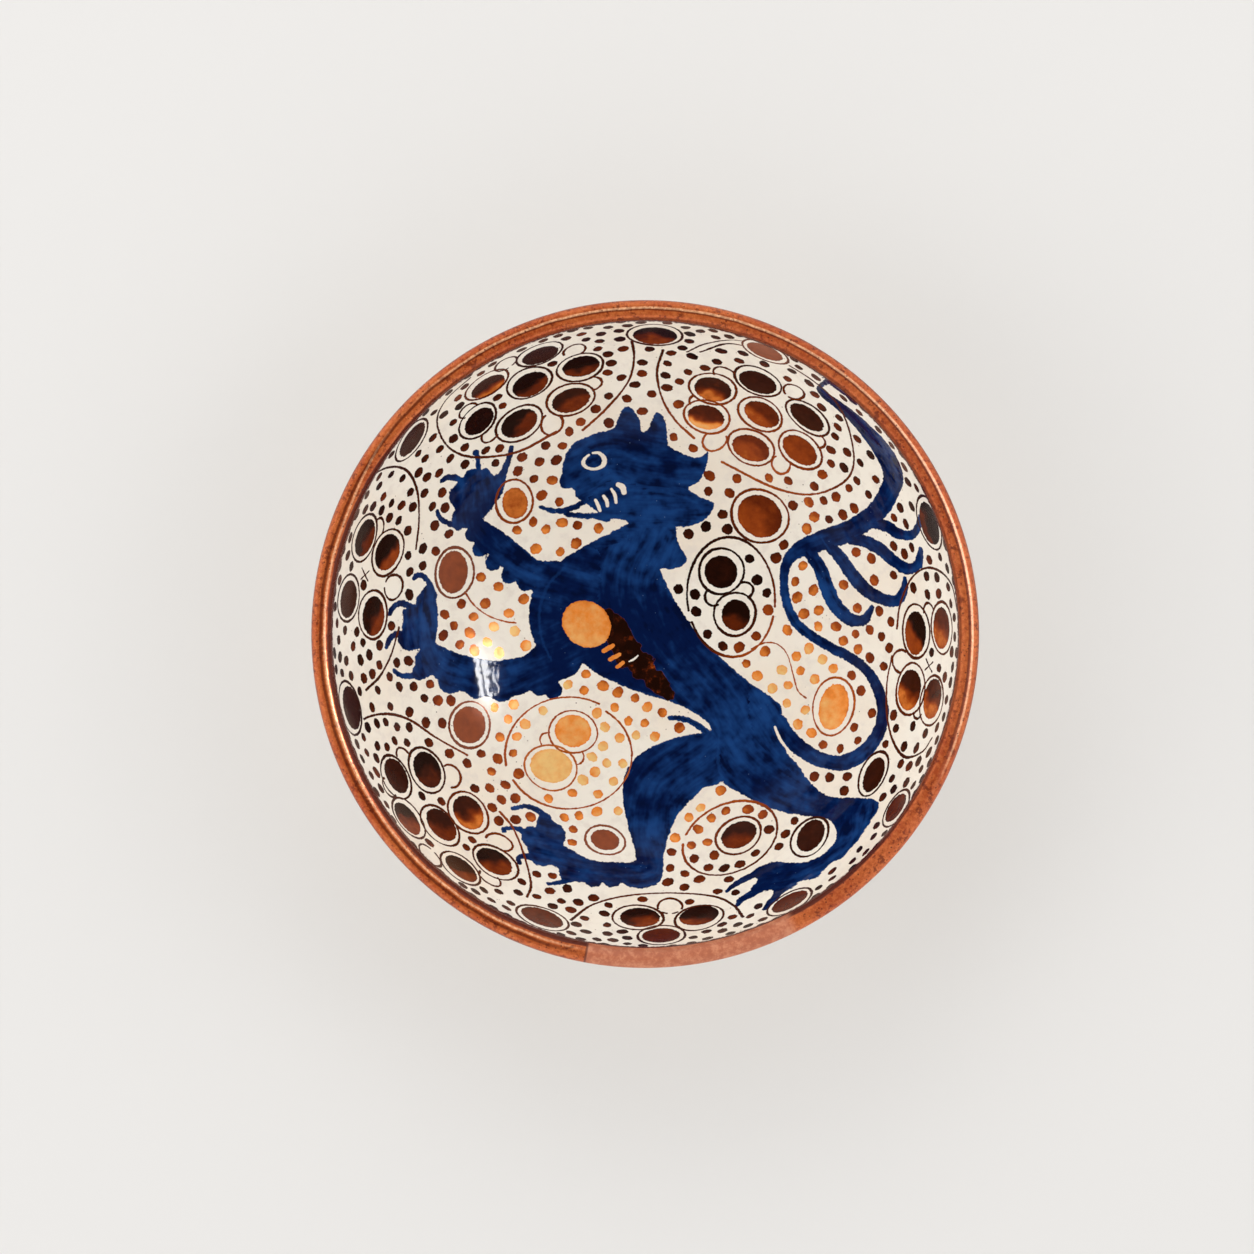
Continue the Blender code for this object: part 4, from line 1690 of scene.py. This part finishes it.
@dataclass
class BowlFinish:
    """Dresses the bowl: the decorated inside and lip, the plainer outside and the foot's clay.

    The outside has lustre bands, each a height in metres and half a width in millimetres, and a
    row of short strokes round its middle.
    """

    form: BowlForm
    line_layers: int
    blue_layers: int
    glaze: TinGlaze = field(default_factory=TinGlaze)
    cobalt: Cobalt = field(default_factory=Cobalt)
    lustre: CopperLustre = field(default_factory=CopperLustre)
    lip: LipLustre = field(default_factory=LipLustre)
    clay: BareClay = field(default_factory=BareClay)
    bands: tuple[tuple[float, float], ...] = (
        (0.104, 0.8), (0.098, 0.4), (0.052, 0.4), (0.047, 0.9), (0.0165, 1.1),
    )
    strokes_height: float = 0.075
    stroke_count: int = 34

    @staticmethod
    def stroke_edge(graph: Graph, name: str) -> Value:
        """How far outside a layer's nearest stroke a place lies, in millimetres."""
        side, past, half = graph.split(graph.vector_attribute(name))
        past = past.at_least(0.0)
        return (side * side + past * past) ** 0.5 - half

    def round_edge(self, graph: Graph) -> tuple[Value, Value]:
        """How far outside the nearest filled round a place lies, and how far towards its painted lit side.
        """
        right, up, size = graph.split(graph.vector_attribute("spot"))
        edge = ((right * right + up * up) ** 0.5 - 1.0) * size
        east = graph.split(graph.place)[0]
        # the side that painted reflection lights: the lower side towards the bowl's middle
        return edge, right * east * -4.5 - up * 0.85

    def lustre_marks(self, graph: Graph, tremble: Value) -> tuple[Value, Value]:
        """Where the lustre is, from 0 to 1, and its tone there, with painted reflection that darkens each
        disc's upper part and lights its side towards the bowl's middle.
        """
        edge, low = self.round_edge(graph)
        streak = graph.noise(210, 3, rough=0.6)
        cloud = graph.noise(75, 2)
        shade = graph.attribute("spot_shade").at_least(0.0)
        # painted reflection: each disc is darker above and lighter on the side towards the bowl's middle, by
        # its shade
        lit = (low + (cloud - 0.5) * 2.0 + 0.1).rise(-0.25, 0.55)
        tone = graph.attribute("spot_tone") + (lit - 0.68) * shade * 0.85
        tone = tone + (streak - 0.5) * 0.30 - edge.rise(-1.3, -0.1) * 0.05
        mask = (edge + tremble * 1.1).inked(0.20)
        for i in range(self.line_layers):
            name = f"line_{i}"
            line = (self.stroke_edge(graph, name) + tremble * 0.7).inked(0.18)
            tone = tone.towards(graph.attribute(name + "_tone") + (streak - 0.5) * 0.22, line)
            mask = mask.at_least(line)
        ragged = (graph.noise(140, 2) - 0.5) * 9.0 + tremble
        smear = (self.stroke_edge(graph, "smear") + ragged).inked(0.3)
        flecks = streak.rise(0.53, 0.74)
        tone = tone.towards(cloud.rise(0.50, 0.72) * 0.12 + flecks * cloud * 0.9, smear * (1.0 - mask))
        return mask.at_least(smear), tone.within()

    def blue_marks(self, graph: Graph, tremble: Value) -> tuple[Value, Value]:
        """Where the blue is, from 0 to 1, and how deep inside its edge a place lies."""
        edge = graph.attribute("figure")
        for i in range(self.blue_layers):
            edge = edge.at_most(self.stroke_edge(graph, f"blue_{i}"))
        edge = edge + tremble * 1.3 + (graph.noise(260, 1) - 0.5)
        return edge.inked(0.30), edge * -1.0

    def lip_coordinates(self, graph: Graph) -> tuple[Value, Value]:
        """The direction from the roll's centre and the direction round the bowl."""
        centre_r, centre_z = self.form.roll_centre()
        x, y, z = graph.split(graph.place)
        radius = (x * x + y * y) ** 0.5
        return graph.math("ARCTAN2", z - centre_z, radius - centre_r), graph.math("ARCTAN2", y, x)

    def lip_colour(self, graph: Graph, roll: Value, turn: Value) -> tuple[NodeSocket, Value, Value]:
        """The lip's colour, where it is mended and where the painted highlight lies."""
        lip = self.lip
        broad = graph.noise(30, 3).rise(0.36, 0.66)
        fine = graph.noise(520, 3, rough=0.7).rise(0.43, 0.64)
        colour = graph.mix(broad * 0.40 + fine * 0.50, lip.copper, lip.light)
        colour = graph.mix(graph.noise(260, 3, rough=0.7).rise(0.46, 0.34) * 0.6, colour, lip.brown)
        wander = graph.noise(70, 2) - 0.5
        # The sides of the ring towards the lights and away from them.
        facing = (turn - 0.85).math("COSINE")
        right, left = facing.rise(-0.05, 0.35), facing.rise(0.05, -0.35)
        satin = turn.rise(-1.95, -1.70) * turn.rise(-0.25, -0.55)
        # painted shade and reflection: dark lines along the roll's inner edge, its crest and its outer side,
        # fainter along the satin stretch
        line = (roll + wander * 0.30 + left * 0.22).rise(2.30, 2.50) * (1.0 - right * 0.45)
        crest = (roll + wander * 0.24 - 1.50).size().rise(0.22, 0.07)
        outer = (roll + wander * 0.5).rise(0.85, 0.05)
        # painted highlight: a pale line on the outer half of the roll on the side towards the lights and on
        # its inner half on the other side, less metallic there
        painted_highlight = roll + wander * 0.16 - right * turn.sine() * 0.14 - 1.24 - left * 0.64
        painted_highlight = painted_highlight.size().rise(0.17, 0.05) * (right + left) * (0.55 + fine * 0.45) * (1.0 - satin)
        specks = graph.cells(460).rise(0.26, 0.14) * graph.noise(110, 1).rise(0.44, 0.54)
        mend = turn + (graph.noise(120, 1) - 0.5) * 0.01
        mend = mend.rise(lip.mend_start - 0.004, lip.mend_start + 0.004)
        mend = mend * turn.rise(lip.mend_end + 0.02, lip.mend_end - 0.02)
        paste = graph.mix(graph.noise(260, 4, rough=0.7).rise(0.4, 0.66), lip.mend, lip.mend_light)
        dark = (line * 0.95).at_least((crest * 0.75).at_least(outer * 0.65) * (1.0 - satin))
        colour = graph.mix(dark, colour, lip.brown)
        colour = graph.mix(painted_highlight * 0.75, colour, lip.worn)
        colour = graph.mix(specks * 0.8, colour, lip.brown)
        colour = graph.mix(mend * 0.9, colour, paste)
        seam = turn.math("SUBTRACT", lip.mend_start).size().rise(0.006, 0.001)
        return graph.mix(seam * 0.75, colour, lip.brown), mend, painted_highlight

    def lustred_lip(self) -> Material:
        """The copper lustre over the roll, with painted highlights and dark reflection lines, mended with
        matt paste along one stretch.
        """
        graph = Graph("copper_lustred_lip")
        roll, turn = self.lip_coordinates(graph)
        colour, mend, painted_highlight = self.lip_colour(graph, roll, turn)
        film = graph.noise(190, 3, rough=0.6)
        height = self.glaze.height(graph) + film * 0.30
        dull = turn.rise(-0.45, -0.70) * turn.rise(-2.1, -1.6) * 0.16
        sunny = (turn - 0.35).math("COSINE").rise(0.40, 0.85) * 0.15
        return graph.finish(
            {"IOR": 1.5},
            {
                "Base Color": colour,
                "Roughness": (self.lip.roughness + dull + sunny + (film - 0.5) * 0.18).towards(0.55, mend),
                # less metallic under the painted highlight
                "Metallic": (1.0 - mend) * (1.0 - painted_highlight * 0.8) * self.lip.metallic,
                "Normal": graph.bump(height, 0.5),
            },
        )

    def decorated(self) -> Material:
        """The painted inside."""
        graph = Graph("painted_tin_glaze")
        tremble = graph.noise(620, 1) - 0.5
        ground = self.glaze.colour(graph)
        blue, depth = self.blue_marks(graph, tremble)
        blue_colour = self.cobalt.colour(graph, depth, graph.vector_attribute("brush"))
        # what is left white, and the painted glint
        white = (self.stroke_edge(graph, "white") + tremble * 0.5).inked(0.25)
        faint = (self.stroke_edge(graph, "faint") + tremble * 1.6).inked(0.8)
        blue_colour = graph.mix(faint * 0.32, blue_colour, self.cobalt.thin)
        colour = graph.mix(blue * (1.0 - white), ground, blue_colour)
        mark, tone = self.lustre_marks(graph, tremble)
        # the painted glint also cuts through the shoulder's dark strip
        mark = mark * (1.0 - white)
        film_colour = graph.ramp(tone, self.lustre.stops)
        dull = graph.attribute("spot_shade").rise(-0.2, -0.8)
        colour = graph.mix(mark, colour, graph.mix(dull * 0.35, film_colour, self.lustre.dull))
        x, y, _ = graph.split(graph.place)
        mouth = self.form.mouth_radius
        edge = ((x * x + y * y) ** 0.5 + tremble * 0.8 * MM).rise(mouth - 0.7 * MM, mouth - 0.3 * MM)
        colour = graph.mix(edge, colour, self.lip.brown)
        film = graph.noise(180, 2, rough=0.6)
        rough = (self.glaze.roughness + (film - 0.5) * 0.05).towards(self.cobalt.roughness, blue)
        rough = rough.towards(self.lustre.roughness + (film - 0.5) * 0.16, mark)
        metal = mark * (0.20 - tone * 0.10 + (film - 0.5) * 0.2)
        normal = graph.bump(self.glaze.height(graph), 0.55)
        return graph.finish(
            {"IOR": 1.5, "Specular IOR Level": self.glaze.specular},
            {"Base Color": colour, "Roughness": rough, "Metallic": metal.within(), "Normal": normal},
        )

    def outside(self) -> Material:
        """The plainer outside: tin glaze with a few lustre bands and short strokes between them."""
        graph = Graph("outside_tin_glaze")
        ground = self.glaze.colour(graph)
        x, y, z = graph.split(graph.place)
        turn = graph.math("ARCTAN2", y, x)
        wander = (graph.noise(22, 2) - 0.5) * 1.6 * MM
        level = z + wander
        tremble = (graph.noise(500, 1) - 0.5) * 0.5 * MM
        bands = [((level - at).size() - half * MM + tremble).inked(0.2 * MM) for at, half in self.bands]
        mark = bands[0]
        for band in bands[1:]:
            mark = mark.at_least(band)
        reach = level - self.strokes_height
        lean = turn * self.stroke_count / (2 * pi) + reach * 22.0
        half = 0.052 + (graph.noise(40, 1) - 0.5) * 0.03 - reach * reach * 180
        mark = mark.at_least(((lean.math("FRACT") - 0.5).size() - half).rise(0.012, -0.012))
        streak = graph.noise(180, 3, rough=0.6)
        tone = (0.42 + (graph.noise(20, 2) - 0.5) * 0.9 + (streak - 0.5) * 0.3).within()
        colour = graph.mix(mark, ground, graph.ramp(tone, self.lustre.stops))
        bare = (z + (graph.noise(90, 2) - 0.5) * 2.4 * MM).rise(3.4 * MM, 2.6 * MM)
        clay = graph.mix(graph.noise(300, 4, rough=0.7).rise(0.4, 0.65), self.clay.buff, self.clay.dark)
        colour = graph.mix(bare, colour, clay)
        radius = (x * x + y * y) ** 0.5
        rings = (radius * 900 + z * 700 + (graph.noise(30, 1) - 0.5) * 3).sine() * 0.03
        height = self.glaze.height(graph) + rings + streak * bare * 0.12
        rough = (0.13 + (streak - 0.5) * 0.06).towards(0.22, mark).towards(0.8, bare)
        return graph.finish(
            {"IOR": 1.5},
            {
                "Base Color": colour,
                "Roughness": rough,
                "Metallic": mark * (1.0 - bare) * 0.5,
                "Normal": graph.bump(height, 0.45),
            },
        )

    def bare_clay(self) -> Material:
        """Buff clay with a fine tooth."""
        graph = Graph("bare_clay")
        grain = graph.noise(420, 5, rough=0.7)
        colour = graph.mix(grain.rise(0.38, 0.66), self.clay.buff, self.clay.dark)
        wear = graph.noise(60, 3).rise(0.5, 0.7)
        colour = graph.mix(wear * 0.4, colour, self.clay.worn)
        normal = graph.bump(grain * 0.25, 0.5)
        return graph.finish({}, {"Base Color": colour, "Roughness": 0.75 + grain * 0.15, "Normal": normal})


@dataclass
class PaintedBowl:
    """The finished bowl: turned, painted and glazed."""

    form: BowlForm
    view: View
    inside_island: tuple[float, float, float] = (0.40, 0.40, 0.395)
    outside_island: tuple[float, float, float] = (0.82, 0.82, 0.175)

    def sort_faces(self, data: MeshData) -> Array:
        """Gives each face its material slot, and returns the slots."""
        x, y, z = data.face_centre.T
        radius = np.hypot(x, y)
        centre_r, centre_z = self.form.roll_centre()
        on_lip = np.hypot(radius - centre_r, z - centre_z) < self.form.roll_radius + 0.2 * MM
        on_lip &= np.arctan2(z - centre_z, radius - centre_r) > self.form.roll_end
        above = z > self.form.height_at(radius) - 1.0 * MM
        inside = (radius < self.form.mouth_radius) & above
        foot = self.form.foot_diameter / 2
        flat = (z < 0.7 * MM) & (radius < foot + 2 * MM) & (radius > foot - 12 * MM)
        slots = np.full(len(radius), Slot.OUTSIDE.value)
        slots[flat] = Slot.CLAY.value
        slots[on_lip] = Slot.LIP.value
        slots[inside] = Slot.DECORATED.value
        data.mesh.polygons.foreach_set("material_index", slots.astype(np.int32))
        return slots

    def unwrap(self, data: MeshData, inner_faces: Array, outline: Array) -> None:
        """A map of two round islands: the inside with the lip, and the outside."""
        radius = np.hypot(data.points[:, 0], data.points[:, 1])
        run = np.empty(len(radius))
        for start in range(0, len(radius), 4000):
            part = slice(start, start + 4000)
            away = radius[part, None] - outline[None, :, 0]
            gaps = np.hypot(away, data.points[part, 2, None] - outline[None, :, 1])
            run[part] = outline[np.argmin(gaps, axis=1), 2]
        turn = np.arctan2(data.points[:, 1], data.points[:, 0])[data.corner_point]
        run = run[data.corner_point]
        inner = inner_faces[data.corner_face]
        edge = run[inner].max()
        share = np.where(inner, run / edge, (outline[-1, 2] - run) / (outline[-1, 2] - edge))
        islands = np.where(inner[:, None], self.inside_island, self.outside_island)
        side = np.where(inner, 1, -1)
        spread = np.column_stack([side * np.cos(turn), np.sin(turn)]) * (share * islands[:, 2])[:, None]
        layer = data.mesh.uv_layers.new(name="OFBake")
        layer.data.foreach_set("uv", (islands[:, :2] + spread).astype(np.float32).ravel())

    def paint(self, data: MeshData, painted: Array) -> BowlFinish:
        """Works out every mark and puts it on the mesh."""
        surface = Surface(self.form, self.view)
        brush = Brush(surface)
        layers = PaintLayers(data, painted, surface)
        beast = Beast(surface)
        lustre = Lustre(surface)
        lines = lustre.layers()
        log.info("%d lustre lines in %d layers", len(lustre.strokes), len(lines))
        for i, laid in enumerate(lines):
            layers.strokes(f"line_{i}", laid)
        blues = beast.blue_layers(brush)
        for i, laid in enumerate(blues):
            layers.strokes(f"blue_{i}", laid)
        marks = {"smear": [lustre.shoulder_smear], "white": beast.white, "faint": beast.faint}
        for name, rows in marks.items():
            layers.strokes(name, brush.all_samples(beast.brushed(rows)))
        log.info("%d blue layers", len(blues))
        layers.figure("figure", beast.distance)
        log.info("figure's outlines")
        layers.brushwork("brush", brush.all_samples(beast.brush_runs()))
        centres, radii, tones = lustre.dots(beast.clearance(blues))
        log.info("%d dots", len(centres))
        spots = lustre.spots(centres, radii, tones)
        layers.spots("spot", *spots)
        return BowlFinish(self.form, len(lines), len(blues))

    def build(self) -> Object:
        """Makes the bowl and dresses it."""
        body = BowlBody(self.form, CAD_BOUNDS[1][2])
        bowl = body.build()
        log.info("%s: turned, %d faces", bowl.name, len(bowl.data.polygons))
        data = MeshData(bowl.data)
        slots = self.sort_faces(data)
        self.unwrap(data, slots <= Slot.LIP.value, body.outline())
        log.info("%s: unwrapped", bowl.name)
        finish = self.paint(data, slots == Slot.DECORATED.value)
        for material in (finish.decorated(), finish.lustred_lip(), finish.outside(), finish.bare_clay()):
            bowl.data.materials.append(material)
        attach(bowl, "root")
        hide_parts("bowl")
        return bowl


@dataclass
class Studio:
    """A pale floor, soft light and the camera that looks down into the bowl.

    The surroundings' brightness goes by how steeply a ray runs upwards: between the first two
    numbers of walls, or of reflected_walls for gloss, it passes from the third to the fourth.
    """

    view: View
    floor_size: float = 8.0
    floor: Colour = (0.735, 0.72, 0.701)
    middle: tuple[float, float, float] = (0, 0, 0.05)
    strip_lean: float = radians(39.5)
    strip_turn: float = radians(-14)
    strip_distance: float = 1.5
    strip_radiance: float = 88
    wall_strength: float = 1.82
    walls: tuple[float, float, float, float] = (0.79, 0.95, 0.92, 0.05)
    reflected_walls: tuple[float, float, float, float] = (0.34, 0.60, 0.62, 0.06)

    def lay_floor(self) -> Object:
        """The pale floor that the bowl stands on."""
        bpy.ops.object.select_all(action="DESELECT")
        bpy.ops.mesh.primitive_grid_add(x_subdivisions=8, y_subdivisions=8, size=self.floor_size)
        floor = bpy.context.object
        floor.name = "pale_floor"
        matt = {"Base Color": self.floor, "Roughness": 0.9}
        floor.data.materials.append(Graph("pale_floor").finish(matt, {}))
        return floor

    def light(self, name: str, size: tuple[float, float], place: Vector, radiance: float) -> Object:
        """A rectangular light that faces the bowl's middle.

        Args:
            name: The light's name.
            size: Its width and height in metres.
            place: Where it hangs.
            radiance: How bright its face is, with 1 for the brightest white of the picture.
        """
        data = bpy.data.lights.new(name, "AREA")
        data.shape = "RECTANGLE"
        data.size, data.size_y = size
        data.energy = radiance * pi * size[0] * size[1]
        lamp = bpy.data.objects.new(name, data)
        bpy.context.scene.collection.objects.link(lamp)
        lamp.location = place
        lamp.rotation_euler = (Vector(self.middle) - place).to_track_quat("-Z", "Y").to_euler()
        return lamp

    def hang_lights(self) -> None:
        """Narrow bright strips side by side, and large soft lights from above and both sides."""
        lean = self.strip_lean
        way = Vector((0.966 * sin(lean), 0.26 * sin(lean), cos(lean)))
        side = way.cross(Vector((0, 1, 0))).normalized()
        for name, offset, size in (
            ("strip_left", -0.065, (0.33, 0.062)),
            ("strip_right", 0.016, (0.34, 0.058)),
            ("strip_thin", 0.082, (0.17, 0.018)),
        ):
            strip = self.light(name, size, way * self.strip_distance + side * offset, self.strip_radiance)
            strip.rotation_euler.rotate_axis("Z", self.strip_turn)
            strip.visible_diffuse = False
        for name, size, place, radiance in (
            ("soft_top", (1.6, 0.9), Vector((-0.5, 1.7, 1.7)), 1.3),
            ("soft_right", (0.9, 1.4), Vector((1.9, 0.1, 1.2)), 0.6),
            ("soft_left", (0.9, 1.4), Vector((-1.9, -0.3, 1.2)), 1.2),
        ):
            self.light(name, size, place, radiance).visible_glossy = False

    def set_world(self) -> None:
        """Even pale surroundings that are dark straight above, where the camera is."""
        world = bpy.data.worlds.new("studio_walls")
        bpy.context.scene.world = world
        world.use_nodes = True
        tree = world.node_tree
        tree.nodes.clear()
        place = tree.nodes.new("ShaderNodeTexCoord")
        split = tree.nodes.new("ShaderNodeSeparateXYZ")
        light = tree.nodes.new("ShaderNodeLightPath")
        choice = tree.nodes.new("ShaderNodeMix")
        back = tree.nodes.new("ShaderNodeBackground")
        out = tree.nodes.new("ShaderNodeOutputWorld")
        tree.links.new(place.outputs["Generated"], split.inputs[0])
        for socket, limits in zip(("A", "B"), (self.walls, self.reflected_walls)):
            level = tree.nodes.new("ShaderNodeMapRange")
            for name, value in zip(("From Min", "From Max", "To Min", "To Max"), limits):
                strength = self.wall_strength if name.startswith("To") else 1
                level.inputs[name].default_value = value * strength
            tree.links.new(split.outputs["Z"], level.inputs["Value"])
            tree.links.new(level.outputs["Result"], choice.inputs[socket])
        tree.links.new(light.outputs["Is Glossy Ray"], choice.inputs["Factor"])
        tree.links.new(choice.outputs["Result"], back.inputs["Strength"])
        tree.links.new(back.outputs["Background"], out.inputs["Surface"])

    def place_camera(self) -> Object:
        """The camera, straight above the bowl with a long lens."""
        data = bpy.data.cameras.new("camera")
        data.sensor_width = self.view.sensor
        data.lens = self.view.focal_length
        data.clip_end = 50
        camera = bpy.data.objects.new("camera", data)
        camera.location = self.view.camera_place
        bpy.context.scene.collection.objects.link(camera)
        bpy.context.scene.camera = camera
        return camera

    def build(self) -> None:
        """Sets the whole studio."""
        self.lay_floor()
        self.hang_lights()
        self.set_world()
        self.place_camera()
        bpy.context.scene.view_settings.view_transform = "Standard"


def main() -> None:
    """Builds the bowl and the studio."""
    low, high = CAD_BOUNDS
    form = BowlForm(rim_radius=(high[0] - low[0]) / 2)
    view = View(form)
    bowl = PaintedBowl(form, view).build()
    log.info("%s: %d faces", bowl.name, len(bowl.data.polygons))
    Studio(view).build()
    log.info("studio: floor, lights and camera")


if __name__ == "__main__":
    main()
